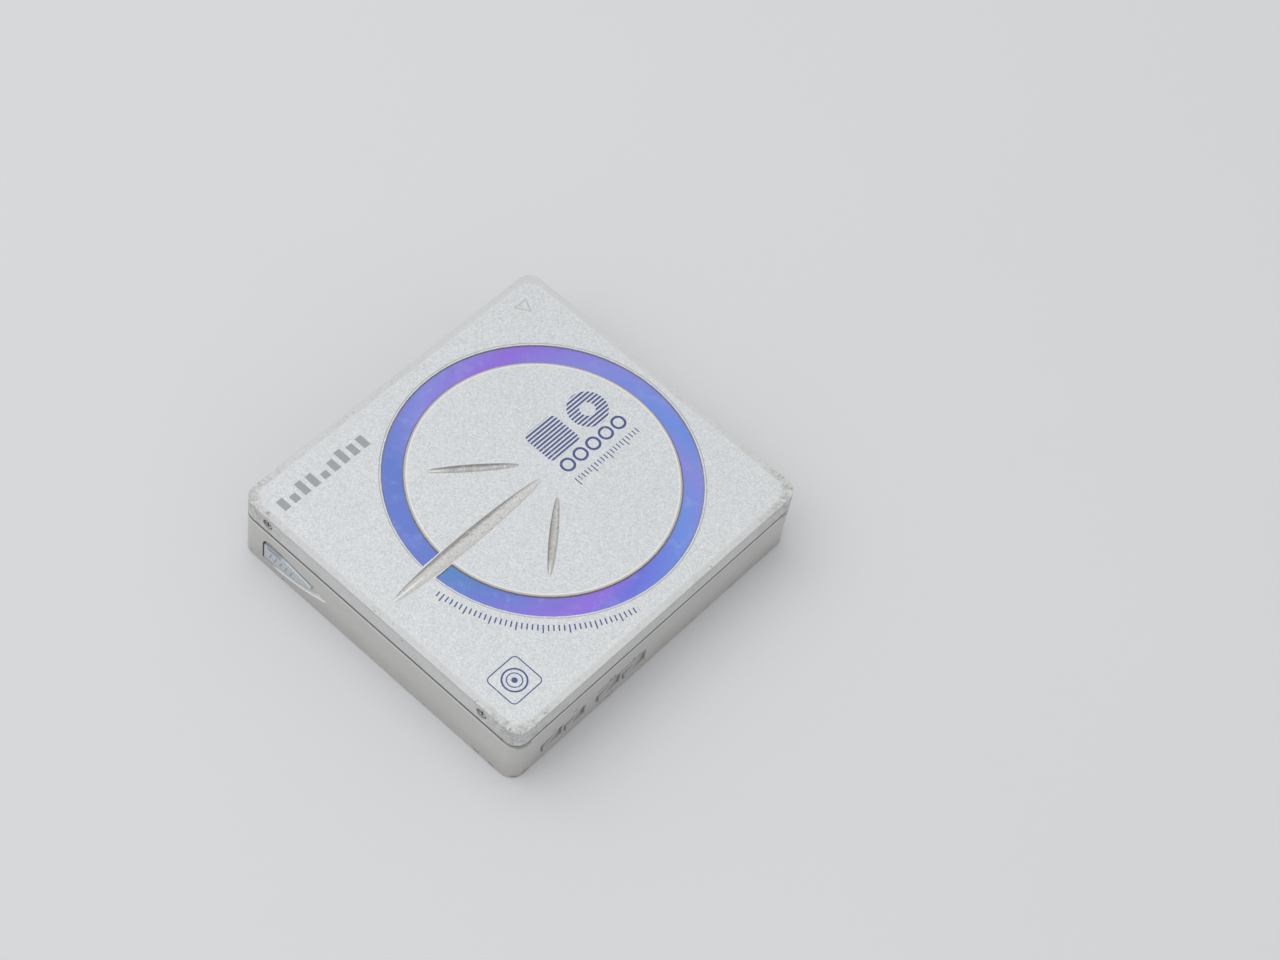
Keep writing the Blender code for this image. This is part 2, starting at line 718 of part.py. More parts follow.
def disc_holder():
    """Sheet-steel channel that the cartridge slides into, screwed to the lid."""
    half_width = HOLDER_OUTER_X
    low = (-half_width, -HOLDER_HALF_DEPTH)
    floor_radius = CORNER_RADIUS - BASE_WALL
    floor = rounded(low, (half_width, HOLDER_HALF_DEPTH), floor_radius)
    window_low = (HOLDER_WINDOW_LEFT, -HOLDER_WINDOW_HALF)
    window_high = (SPINDLE_X + HOLDER_WINDOW_HALF, HOLDER_WINDOW_HALF)
    window = rounded(window_low, window_high, HOLDER_WINDOW_RADIUS, COARSE_STEPS)
    holder = prism("disc_holder", [floor, window], HOLDER_FLOOR, HOLDER_FLOOR + HOLDER_SHEET)
    wall_y = BODY_DEPTH / 2 - HOLDER_WALL_CUTBACK - SEAM_GAP
    wall_top = BAY_TOP + HOLDER_SHEET
    for side in (-1, 1):
        name = side_name(side)
        inner = side * HOLDER_INNER_X
        outer = side * HOLDER_OUTER_X
        bottom = HOLDER_FLOOR + HOLDER_OVERLAP
        low = (min(inner, outer), -wall_y, bottom)
        join(holder, box("holder_wall_" + name, low, (max(inner, outer), wall_y, wall_top)))
        lip = side * (HOLDER_INNER_X - HOLDER_LIP_WIDTH)
        low = (min(lip, outer - side * HOLDER_OVERLAP), -wall_y + OVERRUN, BAY_TOP)
        high = (max(lip, outer - side * HOLDER_OVERLAP), wall_y - OVERRUN, wall_top - HOLDER_OVERLAP)
        join(holder, box("holder_lip_" + name, low, high))
    stop_front = -CARTRIDGE_DEPTH / 2 - FIT_GAP
    low = (-HOLDER_STOP_WIDTH / 2, stop_front - HOLDER_SHEET, HOLDER_FLOOR + HOLDER_OVERLAP)
    high = (HOLDER_STOP_WIDTH / 2, stop_front, HOLDER_FLOOR + HOLDER_STOP_HEIGHT)
    join(holder, box("holder_stop", low, high))
    span = BODY_WIDTH
    bore = HINGE_PIN_RADIUS + HINGE_BORE_GAP
    cut(holder, cylinder("holder_hinge_bore", (0, HINGE_Y, HINGE_Z), bore, span, "X", SMALL_SIDES))
    for y in LID_SCREW_YS:
        name = "holder_screw_bore" + ("_front" if y > 0 else "_rear")
        bore = SCREW_SHANK_RADIUS + RUNNING_GAP
        cut(holder, cylinder(name, (0, y, LID_SCREW_HEIGHT), bore, span, "X", SMALL_SIDES))
    return keep(holder, STEEL)


def bowed_strip(name, centre, length, width, low, high, along):
    """Thin leaf spring, bowed between two levels."""
    crown = []
    for step in range(STRIP_STEPS + 1):
        share = step / STRIP_STEPS
        crown.append((length * (share - 1 / 2), (high - low - SPRING_STRIP) * math.sin(math.pi * share)))
    middle = centre[1] if along == "X" else centre[0]
    outline = [(middle + run, low + rise) for run, rise in crown]
    outline += [(middle + run, low + rise + SPRING_STRIP) for run, rise in reversed(crown)]
    across = centre[0] if along == "X" else centre[1]
    return prism(name, [outline], across - width / 2, across + width / 2, along)


def cartridge_springs():
    springs = []
    for side in (-1, 1):
        name = "cartridge_spring_" + side_name(side)
        centre = (side * BAY_SPRING_X, 0)
        low = BAY_TOP - RUNNING_GAP
        high = LID_CEILING - RUNNING_GAP / 2
        strip = bowed_strip(name, centre, BAY_SPRING_LENGTH, BAY_SPRING_WIDTH, low, high, "X")
        springs.append(keep(strip, STEEL))
    return springs


def lid_catch():
    """Hook under the lid that the release slide's claw holds."""
    outer = -HOLDER_OUTER_X - FIT_GAP
    low = (outer - CATCH_THICKNESS, CATCH_Y - CATCH_LENGTH / 2, CLAW_TOP - CATCH_HEIGHT / 2)
    high = (outer, CATCH_Y + CATCH_LENGTH / 2, LID_CEILING - FIT_GAP)
    catch = box("lid_catch", low, high)
    nose_low = (low[0], high[1] - EMBED, low[2])
    nose_high = (high[0], high[1] + CATCH_NOSE, low[2] + CATCH_NOSE_HEIGHT)
    join(catch, box("catch_nose", nose_low, nose_high))
    return keep(catch, STEEL)


# Base
def base_shell():
    shell = prism("base_shell", [body_outline(0)], 0, SEAM_HEIGHT)
    foot_edge = (BASE_EDGE_RADIUS, lambda co: co.z < FLOOR_LEDGE)
    top_edge = (SEAM_CHAMFER, lambda co: co.z > FLOOR_LEDGE)
    round_edges(shell, EDGE_SEGMENTS, (foot_edge, top_edge))
    cut(shell, prism("base_hollow", [body_outline(BASE_WALL)], FLOOR_THICKNESS, SEAM_HEIGHT + OVERRUN))
    cut(shell, prism("floor_opening", [body_outline(OPENING_INSET)], FLOOR_LEDGE, FLOOR_THICKNESS + OVERRUN))
    ledge = FLOOR_THICKNESS - FLOOR_LEDGE
    cut(shell, prism("cover_seat", [body_outline(COVER_INSET)], -OVERRUN, ledge))
    for side in (-1, 1):
        place = (side * REAR_POST[0], REAR_POST[1])
        add_post(shell, "rear_post_" + side_name(side), place)
        place = (side * FRONT_POST[0], FRONT_POST[1])
        add_post(shell, "front_post_" + side_name(side), place)
    add_mouth_wall(shell)
    cut_hinge_relief(shell)
    cut_side_openings(shell)
    cut_key_openings(shell)
    cut_slide_dish(shell)
    add_spring_peg(shell)
    for name, place in cover_screw_places().items():
        hole = SCREW_SHANK_RADIUS + RUNNING_GAP
        middle = (place[0], place[1], FLOOR_THICKNESS)
        cut(shell, cylinder(name + "_hole", middle, hole, 2 * FLOOR_THICKNESS, "Z", SMALL_SIDES))
    return keep(shell, GREY_PAINT)


def add_mouth_wall(shell):
    """Raised part of the +Y wall that closes the cartridge mouth under the lid."""
    low, high = mouth_corners(SEAM_GAP, OVERRUN)
    low = (low[0], BASE_INNER_Y - OVERRUN, SEAM_HEIGHT - EMBED)
    wall = prism("mouth_wall", [body_outline(0)], low[2], high[2])
    cut(wall, prism("mouth_wall_hollow", [body_outline(BASE_WALL)], low[2] - OVERRUN, high[2] + OVERRUN))
    add_boolean(wall, box("mouth_wall_limit", low, high), "INTERSECT")
    join(shell, wall)


def add_post(shell, name, place):
    """Post that carries a rubber damper under the chassis."""
    top = CHASSIS_BOTTOM - DAMPER_HEIGHT - RUNNING_GAP
    low = FLOOR_THICKNESS - EMBED
    join(shell, cylinder(name, (*place, (low + top) / 2), POST_RADIUS, top - low, "Z", SMALL_SIDES))


def cut_hinge_relief(shell):
    """Sloped relief behind the hinge, where the lid's rear edge swings down."""
    lip_y = -BODY_DEPTH / 2 + HINGE_LIP
    inner_y = -BASE_INNER_Y + OVERRUN
    slope = HINGE_LIP_DROP / (BASE_WALL - HINGE_LIP)
    drop = slope * (inner_y - lip_y)
    outline = [(lip_y, SEAM_HEIGHT), (inner_y, SEAM_HEIGHT - drop), (inner_y, SEAM_HEIGHT + OVERRUN)]
    outline.append((lip_y, SEAM_HEIGHT + OVERRUN))
    half = BODY_WIDTH / 2 - CORNER_RADIUS
    cut(shell, prism("rear_relief", [outline], -half, half, "X"))
    start = -BODY_DEPTH / 2 + CORNER_RELIEF_START
    end = -BODY_DEPTH / 2 - OVERRUN
    low = SEAM_HEIGHT - CORNER_RELIEF_DEPTH
    outline = [(start, SEAM_HEIGHT), (end, low), (end, SEAM_HEIGHT + OVERRUN), (start, SEAM_HEIGHT + OVERRUN)]
    for side in (-1, 1):
        inner = side * (half - OVERRUN)
        outer = side * (BODY_WIDTH / 2 + OVERRUN)
        name = "corner_relief_" + side_name(side)
        cut(shell, prism(name, [outline], min(inner, outer), max(inner, outer), "X"))


def cut_side_openings(shell):
    """Openings of the +X wall: battery door, sockets and hold switch."""
    outside = BODY_WIDTH / 2 + OVERRUN
    inside = BASE_INNER_X - OVERRUN
    low_z = BATTERY_Z - DOOR_HEIGHT / 2 - DOOR_GAP
    high_z = BATTERY_Z + DOOR_HEIGHT / 2 + DOOR_GAP
    door_low = DOOR_HINGE_Y - DOOR_RADIUS - DOOR_GAP
    door_high = DOOR_HINGE_Y + DOOR_LENGTH + DOOR_GAP
    cut(shell, box("door_opening", (inside, door_low, low_z), (outside, door_high, high_z)))
    place = (door_axis_x(), DOOR_HINGE_Y, BATTERY_Z)
    bore = DOOR_PIN_RADIUS + DOOR_PIN_GAP
    cut(shell, cylinder("door_pin_socket", place, bore, DOOR_PIN_LENGTH + 2 * DOOR_GAP, "Z", SMALL_SIDES))
    for name, y in (("phones", PHONES_Y), ("power", POWER_Y)):
        nose = JACK_NOSE_RADIUS + FIT_GAP
        place = ((inside + outside) / 2, y, JACK_Z)
        cut(shell, cylinder(name + "_opening", place, nose, outside - inside, "X", ROUND_SIDES))
    half_length = (HOLD_KNOB_LENGTH + HOLD_TRAVEL) / 2 + FIT_GAP
    half_height = HOLD_KNOB_HEIGHT / 2 + FIT_GAP
    middle = HOLD_Y + HOLD_TRAVEL / 2
    low = (middle - half_length, HOLD_Z - half_height)
    high = (middle + half_length, HOLD_Z + half_height)
    slot = rounded(low, high, half_height / 2, COARSE_STEPS)
    cut(shell, prism("hold_slot", [slot], inside, outside, "X"))


def door_axis_x():
    return BODY_WIDTH / 2 - DOOR_RADIUS


def cover_screw_places():
    """Corner screws of the bottom cover, under the rear posts and the front corners."""
    places = {}
    for side in (-1, 1):
        places["cover_screw_rear_" + side_name(side)] = (side * REAR_POST[0], REAR_POST[1])
        places["cover_screw_front_" + side_name(side)] = (side * REAR_POST[0], -REAR_POST[1])
    return places


def bottom_cover():
    low = COVER_LIFT
    cover = prism("bottom_cover", [body_outline(COVER_INSET + FIT_GAP)], low, low + COVER_THICKNESS)
    for name, place in cover_screw_places().items():
        head = SCREW_HEAD_RADIUS + FIT_GAP
        depth = SCREW_HEAD_THICKNESS + FIT_GAP + RUNNING_GAP
        cut(cover, cylinder(name + "_seat", (*place, low), head, 2 * depth, "Z", SMALL_SIDES))
        hole = SCREW_SHANK_RADIUS + RUNNING_GAP
        through = 2 * (COVER_THICKNESS + OVERRUN)
        cut(cover, cylinder(name + "_way", (*place, low), hole, through, "Z", SMALL_SIDES))
    return keep(cover, GREY_PAINT)


def cover_screws():
    screws = []
    for name, place in cover_screw_places().items():
        head_face = (place[0], place[1], COVER_LIFT + RUNNING_GAP)
        length = FLOOR_THICKNESS - COVER_LIFT
        screws.append(screw_piece(name, head_face, (0, 0, -1), length, DARK_SCREW))
    return screws


# Chassis
def chassis_plate():
    """Stamped deck with two bent-up hinge ears."""
    half_x = BASE_INNER_X - FIT_GAP - RUNNING_GAP
    low = (-half_x, -BASE_INNER_Y + RUNNING_GAP + FIT_GAP)
    outline = rounded(low, (half_x, CHASSIS_FRONT_Y), CHASSIS_CORNER)
    slot_low = (SLED_HOME_X - SLED_TRAVEL - LENS_SLOT_REACH, -LENS_SLOT_HALF)
    slot_high = (SLED_HOME_X + LENS_SLOT_REACH, LENS_SLOT_HALF)
    slot = rounded(slot_low, slot_high, LENS_RADIUS, COARSE_STEPS)
    hub_hole = circle((SPINDLE_X, 0), HUB_RADIUS + HUB_HOLE_GAP)
    deck = prism("chassis_plate", [outline, slot, hub_hole], CHASSIS_BOTTOM, CHASSIS_TOP)
    ear = ear_outline()
    for side in (-1, 1):
        inner = side * HINGE_EAR_X
        outer = side * (HINGE_EAR_X + HINGE_EAR_THICKNESS)
        name = "hinge_ear_" + side_name(side)
        join(deck, prism(name, [ear], min(inner, outer), max(inner, outer), "X"))
    bore = HINGE_PIN_RADIUS + HINGE_BORE_GAP / 2
    cut(deck, cylinder("ear_bore", (0, HINGE_Y, HINGE_Z), bore, BODY_WIDTH, "X", SMALL_SIDES))
    add_rod_tabs(deck)
    add_motor_saddle(deck)
    return keep(deck, STEEL)


def ear_outline():
    """Side view of a hinge ear: round head on a foot that leans forward."""
    foot = CHASSIS_TOP - CHASSIS_SHEET / 2
    points = arc((HINGE_Y, HINGE_Z), HINGE_EAR_RADIUS, *EAR_HEAD_ANGLES, SMALL_SIDES)
    points.append((HINGE_Y + EAR_FOOT_REAR, foot))
    points.append((HINGE_Y + EAR_FOOT_FRONT, foot))
    return points


def hinge_pins():
    pins = []
    for side in (-1, 1):
        middle = side * (HOLDER_INNER_X + FIT_GAP / 2 + HINGE_PIN_LENGTH / 2)
        name = "hinge_pin_" + side_name(side)
        pin = cylinder(name, (middle, HINGE_Y, HINGE_Z), HINGE_PIN_RADIUS, HINGE_PIN_LENGTH, "X", SMALL_SIDES)
        pins.append(keep(pin, STEEL))
    return pins


def chassis_dampers():
    dampers = []
    places = {}
    for side in (-1, 1):
        places["chassis_damper_rear_" + side_name(side)] = (side * REAR_POST[0], REAR_POST[1])
        places["chassis_damper_front_" + side_name(side)] = (side * FRONT_POST[0], FRONT_POST[1])
    for name, place in places.items():
        top = CHASSIS_BOTTOM - RUNNING_GAP / 2
        bottom = CHASSIS_BOTTOM - DAMPER_HEIGHT - RUNNING_GAP / 2
        middle = (*place, (top + bottom) / 2)
        damper = cylinder(name, middle, POST_RADIUS, top - bottom, "Z", SMALL_SIDES)
        dampers.append(keep(damper, RUBBER))
    return dampers


def lift_springs():
    springs = []
    for side in (-1, 1):
        name = "lid_lift_spring_" + side_name(side)
        centre = (side * LIFT_SPRING_X, LIFT_SPRING_Y)
        low = CHASSIS_TOP + SEAT_GAP
        high = HOLDER_FLOOR - SEAT_GAP
        strip = bowed_strip(name, centre, LIFT_SPRING_LENGTH, LIFT_SPRING_WIDTH, low, high, "X")
        springs.append(keep(strip, STEEL))
    return springs


# Disc drive
def turntable():
    hub_bottom = HUB_TOP - HUB_THICKNESS
    bevel = HUB_BEVEL
    profile = [(0, SPINDLE_TIP), (SPINDLE_TIP_RADIUS - bevel, SPINDLE_TIP)]
    profile.append((SPINDLE_TIP_RADIUS, SPINDLE_TIP - bevel))
    profile += [(SPINDLE_TIP_RADIUS, HUB_TOP), (HUB_RADIUS - bevel, HUB_TOP), (HUB_RADIUS, HUB_TOP - bevel)]
    profile += [(HUB_RADIUS, hub_bottom), (SHAFT_RADIUS, hub_bottom)]
    profile += [(SHAFT_RADIUS, SHAFT_FOOT), (0, SHAFT_FOOT)]
    hub = turned("turntable", profile, (SPINDLE_X, 0, 0))
    return keep(hub, WHITE_PLASTIC)


def clamp_magnet():
    inner = SPINDLE_TIP_RADIUS + FIT_GAP
    low = HUB_TOP + SEAT_GAP
    outline = [circle((SPINDLE_X, 0), MAGNET_RADIUS), circle((SPINDLE_X, 0), inner, SMALL_SIDES)]
    return keep(prism("clamp_magnet", outline, low, low + MAGNET_THICKNESS), MAGNET)


def spindle_motor():
    inner = SHAFT_RADIUS + RUNNING_GAP
    outline = [circle((SPINDLE_X, 0), MOTOR_RADIUS), circle((SPINDLE_X, 0), inner, SMALL_SIDES)]
    top = CHASSIS_BOTTOM - RUNNING_GAP / 2
    motor = prism("spindle_motor", outline, top - MOTOR_HEIGHT, top)
    return keep(motor, STEEL)


def pickup_sled():
    """Sled body with a bush on the main rod, a fork on the sub rod and a nut arm."""
    left = SLED_HOME_X - SLED_BACK
    right = SLED_HOME_X + SLED_FRONT
    low = (left, -SLED_HALF_WIDTH, SLED_BOTTOM)
    sled = box("pickup_sled", low, (right, SLED_HALF_WIDTH, SLED_TOP))
    middle = (left + right) / 2
    bush = (middle, MAIN_ROD_Y, ROD_Z)
    join(sled, cylinder("sled_bush", bush, BUSH_RADIUS, right - left, "X", ROUND_SIDES))
    arm_low = (left + EMBED, MAIN_ROD_Y + BUSH_RADIUS / 2, ROD_Z - BUSH_RADIUS / 2)
    arm_high = (right - EMBED, -SLED_HALF_WIDTH + EMBED, ROD_Z + BUSH_RADIUS / 2)
    join(sled, box("sled_bush_arm", arm_low, arm_high))
    fork_low = (middle - FORK_HALF_LENGTH, SLED_HALF_WIDTH - EMBED, ROD_Z - FORK_HEIGHT / 2)
    fork_high = (middle + FORK_HALF_LENGTH, SUB_ROD_Y + FORK_REACH, ROD_Z + FORK_HEIGHT / 2)
    join(sled, box("sled_fork", fork_low, fork_high))
    nut_rear = LEAD_SCREW_Y + LEAD_SCREW_RADIUS + NUT_GAP
    nut_low = (middle - NUT_LENGTH / 2, nut_rear, LEAD_SCREW_Z - NUT_HEIGHT / 2)
    nut_high = (middle + NUT_LENGTH / 2, MAIN_ROD_Y - BUSH_RADIUS / 2, LEAD_SCREW_Z + NUT_HEIGHT / 2)
    join(sled, box("sled_nut_arm", nut_low, nut_high))
    bore = MAIN_ROD_RADIUS + ROD_CLEARANCE
    cut(sled, cylinder("main_rod_bore", bush, bore, 2 * (right - left), "X", ROUND_SIDES))
    slot = SUB_ROD_RADIUS + ROD_CLEARANCE
    slot_low = (left, SUB_ROD_Y - slot, ROD_Z - slot)
    cut(sled, box("sub_rod_slot", slot_low, (right, SUB_ROD_Y + FORK_REACH + OVERRUN, ROD_Z + slot)))
    return keep(sled, BLACK_PLASTIC)


def pickup_lens():
    middle = (SLED_HOME_X, 0, (SLED_TOP + LENS_TOP) / 2 + SEAT_GAP)
    height = LENS_TOP - SLED_TOP - RUNNING_GAP / 2
    return keep(cylinder("pickup_lens", middle, LENS_RADIUS, height, "Z", ROUND_SIDES), LENS_GLASS)


def guide_rods():
    rods = {
        "main_guide_rod": (MAIN_ROD_Y, MAIN_ROD_RADIUS, ROD_LEFT),
        "sub_guide_rod": (SUB_ROD_Y, SUB_ROD_RADIUS, SUB_ROD_LEFT),
    }
    for name, (y, radius, left) in rods.items():
        middle = ((left + ROD_RIGHT) / 2, y, ROD_Z)
        keep(cylinder(name, middle, radius, ROD_RIGHT - left, "X", ROD_SIDES), STEEL)


def add_rod_tabs(deck):
    """Tabs under the deck that hold the rods and the lead screw at both ends."""
    top = CHASSIS_BOTTOM + EMBED
    rods = {
        "main": (MAIN_ROD_Y, ROD_Z, MAIN_ROD_RADIUS, ROD_LEFT),
        "sub": (SUB_ROD_Y, ROD_Z, SUB_ROD_RADIUS, SUB_ROD_LEFT),
        "lead": (LEAD_SCREW_Y, LEAD_SCREW_Z, LEAD_SCREW_RADIUS, ROD_LEFT),
    }
    for name, (y, z, radius, left) in rods.items():
        for side, x in (("left", left + TAB_INSET), ("right", ROD_RIGHT - TAB_INSET - TAB_THICKNESS)):
            low = (x, y - radius - TAB_WALL, z - radius - TAB_WALL)
            high = (x + TAB_THICKNESS, y + radius + TAB_WALL, top)
            join(deck, box("tab_" + name + "_" + side, low, high))
            middle = (x + TAB_THICKNESS / 2, y, z)
            bore = radius + RUNNING_GAP / 2
            tool = cylinder("tab_bore_" + name + "_" + side, middle, bore, 2 * TAB_THICKNESS, "X", ROD_SIDES)
            cut(deck, tool)


def gear_outline(centre, teeth, phase):
    """Gear with straight-flanked teeth."""
    pitch_radius = GEAR_MODULE * teeth / 2
    tip = pitch_radius + GEAR_MODULE * ADDENDUM_SHARE
    root = pitch_radius - GEAR_MODULE * DEDENDUM_SHARE
    pitch = 360 / teeth
    points = []
    for tooth in range(teeth):
        middle = tooth * pitch + phase
        for radius, offset in (
            (root, -TOOTH_ROOT_SHARE / 2),
            (tip, -TOOTH_TIP_SHARE / 2),
            (tip, TOOTH_TIP_SHARE / 2),
            (root, TOOTH_ROOT_SHARE / 2),
        ):
            angle = math.radians(middle + offset * pitch)
            points.append((centre[0] + radius * math.cos(angle), centre[1] + radius * math.sin(angle)))
    return points


def gear_distance():
    return GEAR_MODULE * (GEAR_TEETH + PINION_TEETH) / 2


def lead_screw():
    right = GEAR_X + GEAR_WIDTH + FIT_GAP
    length = right - ROD_LEFT
    middle = ((right + ROD_LEFT) / 2, LEAD_SCREW_Y, LEAD_SCREW_Z)
    return keep(cylinder("lead_screw", middle, LEAD_SCREW_RADIUS, length, "X", ROD_SIDES), STEEL)


def lead_screw_gear():
    """Gear on the lead screw; a tooth gap faces the pinion."""
    phase = 180 / GEAR_TEETH
    centre = (LEAD_SCREW_Y, LEAD_SCREW_Z)
    hole = circle(centre, LEAD_SCREW_RADIUS + ROD_CLEARANCE, ROD_SIDES)
    outline = [gear_outline(centre, GEAR_TEETH, phase), hole]
    return keep(prism("lead_screw_gear", outline, GEAR_X, GEAR_X + GEAR_WIDTH, "X"), WHITE_PLASTIC)


def motor_pinion():
    """Pinion on the sled motor's shaft; a tooth faces the gear."""
    centre = (LEAD_SCREW_Y - gear_distance(), LEAD_SCREW_Z)
    left = GEAR_X - (PINION_WIDTH - GEAR_WIDTH) / 2
    pinion = prism("motor_pinion", [gear_outline(centre, PINION_TEETH, 0)], left, left + PINION_WIDTH, "X")
    right = SLED_MOTOR_X + SLED_MOTOR_LENGTH / 2
    shaft_left = left + PINION_WIDTH / 2
    middle = ((shaft_left + right) / 2, *centre)
    join(pinion, cylinder("motor_shaft", middle, MOTOR_SHAFT_RADIUS, right - shaft_left, "X", SMALL_SIDES))
    return keep(pinion, BRASS)


def sled_motor():
    y = LEAD_SCREW_Y - gear_distance()
    centre = (SLED_MOTOR_X + SLED_MOTOR_LENGTH / 2, y, LEAD_SCREW_Z)
    motor = cylinder("sled_motor", centre, SLED_MOTOR_RADIUS, SLED_MOTOR_LENGTH, "X", ROUND_SIDES)
    bore = MOTOR_SHAFT_RADIUS + RUNNING_GAP
    depth = SLED_MOTOR_LENGTH + 2 * FIT_GAP
    cut(motor, cylinder("sled_motor_bore", (SLED_MOTOR_X, y, LEAD_SCREW_Z), bore, depth, "X", SMALL_SIDES))
    return keep(motor, STEEL)


def add_motor_saddle(deck):
    """Saddle that hangs the sled motor from the deck."""
    y = LEAD_SCREW_Y - gear_distance()
    inner = SLED_MOTOR_RADIUS + RUNNING_GAP / 2
    outer = inner + SADDLE_WALL
    top = CHASSIS_BOTTOM + EMBED
    points = [(y - outer, top), (y - outer, LEAD_SCREW_Z)]
    points += arc((y, LEAD_SCREW_Z), inner, 180, 0, SMALL_SIDES)
    points += [(y + outer, LEAD_SCREW_Z), (y + outer, top)]
    left = SLED_MOTOR_X + SLED_MOTOR_LENGTH / 2 - SADDLE_WIDTH / 2
    join(deck, prism("motor_saddle", [points], left, left + SADDLE_WIDTH, "X"))


# Electronics
def main_board():
    low = (-BOARD_HALF_WIDTH, BOARD_REAR_Y)
    outline = rounded(low, (BOARD_HALF_WIDTH, BOARD_FRONT_Y), BOARD_CORNER, COARSE_STEPS)
    board = prism("main_board", [outline], BOARD_BOTTOM, BOARD_BOTTOM + BOARD_THICKNESS)
    return keep(board, GREEN_BOARD)


def chips():
    pieces = []
    low_z = BOARD_BOTTOM + BOARD_THICKNESS + CHIP_GAP
    for name, (centre, size) in CHIPS.items():
        low = (centre[0] - size[0] / 2, centre[1] - size[1] / 2, low_z)
        high = (centre[0] + size[0] / 2, centre[1] + size[1] / 2, low_z + size[2])
        pieces.append(keep(box(name, low, high), BLACK_PLASTIC))
    return pieces


def socket_block(name, y, bore_radius):
    """Socket body under the deck with a round nose in the wall."""
    inner = BASE_INNER_X - FIT_GAP
    left = inner - JACK_LENGTH
    low = (left, y - JACK_RADIUS, FLOOR_THICKNESS + FIT_GAP)
    block = box(name, low, (inner, y + JACK_RADIUS, JACK_Z + JACK_RADIUS))
    nose_end = BODY_WIDTH / 2 - FIT_GAP
    nose_start = inner - OVERRUN
    middle = ((nose_start + nose_end) / 2, y, JACK_Z)
    join(block, cylinder(name + "_nose", middle, JACK_NOSE_RADIUS, nose_end - nose_start, "X", ROUND_SIDES))
    depth = nose_end - left - OVERRUN
    middle = (nose_end - depth / 2 + OVERRUN / 2, y, JACK_Z)
    cut(block, cylinder(name + "_bore", middle, bore_radius, depth + OVERRUN, "X", ROD_SIDES))
    return block


def phones_socket():
    return keep(socket_block("phones_socket", PHONES_Y, PHONES_BORE_RADIUS), BLACK_PLASTIC)


def power_socket():
    """Power socket with its centre pin."""
    block = socket_block("power_socket", POWER_Y, POWER_BORE_RADIUS)
    end = BODY_WIDTH / 2 - BASE_WALL
    start = BASE_INNER_X - JACK_LENGTH + OVERRUN / 2
    middle = ((start + end) / 2, POWER_Y, JACK_Z)
    join(block, cylinder("power_pin", middle, POWER_PIN_RADIUS, end - start, "X", SMALL_SIDES))
    return keep(block, BLACK_PLASTIC)


# Battery
def battery_left_x():
    return BATTERY_RIGHT_X - BATTERY_LENGTH


def battery():
    half_y = BATTERY_WIDTH / 2
    half_z = BATTERY_THICKNESS / 2
    low = (BATTERY_Y - half_y, BATTERY_Z - half_z)
    outline = rounded(low, (BATTERY_Y + half_y, BATTERY_Z + half_z), BATTERY_EDGE, COARSE_STEPS)
    left = battery_left_x() + BATTERY_CAP_HEIGHT
    cell = prism("battery", [outline], left, BATTERY_RIGHT_X, "X")
    middle = (left, BATTERY_Y, BATTERY_Z)
    join(cell, cylinder("battery_cap", middle, BATTERY_CAP_RADIUS, 2 * BATTERY_CAP_HEIGHT, "X", ROD_SIDES))
    return keep(cell, BATTERY_WRAP)


def battery_case():
    """Plastic trough round the battery, closed at its inner end."""
    half_y = BATTERY_WIDTH / 2 + CASE_GAP
    half_z = BATTERY_THICKNESS / 2 + CASE_GAP
    left = battery_left_x() - CASE_OVERHANG
    low = (left, BATTERY_Y - half_y - CASE_WALL, BATTERY_Z - half_z - CASE_WALL)
    high = (BATTERY_RIGHT_X - OVERRUN, BATTERY_Y + half_y + CASE_WALL, BATTERY_Z + half_z + CASE_WALL)
    case = box("battery_case", low, high)
    low = (left + CASE_WALL, BATTERY_Y - half_y, BATTERY_Z - half_z)
    high = (BATTERY_RIGHT_X + OVERRUN, BATTERY_Y + half_y, BATTERY_Z + half_z)
    cut(case, box("case_hollow", low, high))
    return keep(case, BLACK_PLASTIC)


def leaf_contact(name, wall_x, tip_x, middle_y):
    """Folded leaf that presses on a battery end: a foot on the wall and a tip."""
    half = CONTACT_LEAF_HALF
    outward = 1 if tip_x > wall_x else -1
    sheet = outward * CONTACT_SHEET
    points = [(wall_x, middle_y - half), (wall_x, middle_y), (tip_x, middle_y + half)]
    points += [(tip_x, middle_y + half - CONTACT_SHEET), (wall_x + sheet, middle_y - CONTACT_SHEET)]
    points.append((wall_x + sheet, middle_y - half))
    low = BATTERY_Z - CONTACT_WIDTH / 2
    return keep(prism(name, [points], low, low + CONTACT_WIDTH), STEEL)


def battery_contacts():
    wall = battery_left_x() - CASE_OVERHANG + CASE_WALL + RUNNING_GAP
    inner = leaf_contact("battery_contact", wall, battery_left_x() - RUNNING_GAP, BATTERY_Y)
    wall = BODY_WIDTH / 2 - 2 * DOOR_RADIUS - RUNNING_GAP / 2
    outer = leaf_contact("door_contact", wall, BATTERY_RIGHT_X + RUNNING_GAP, BATTERY_Y)
    return inner, outer


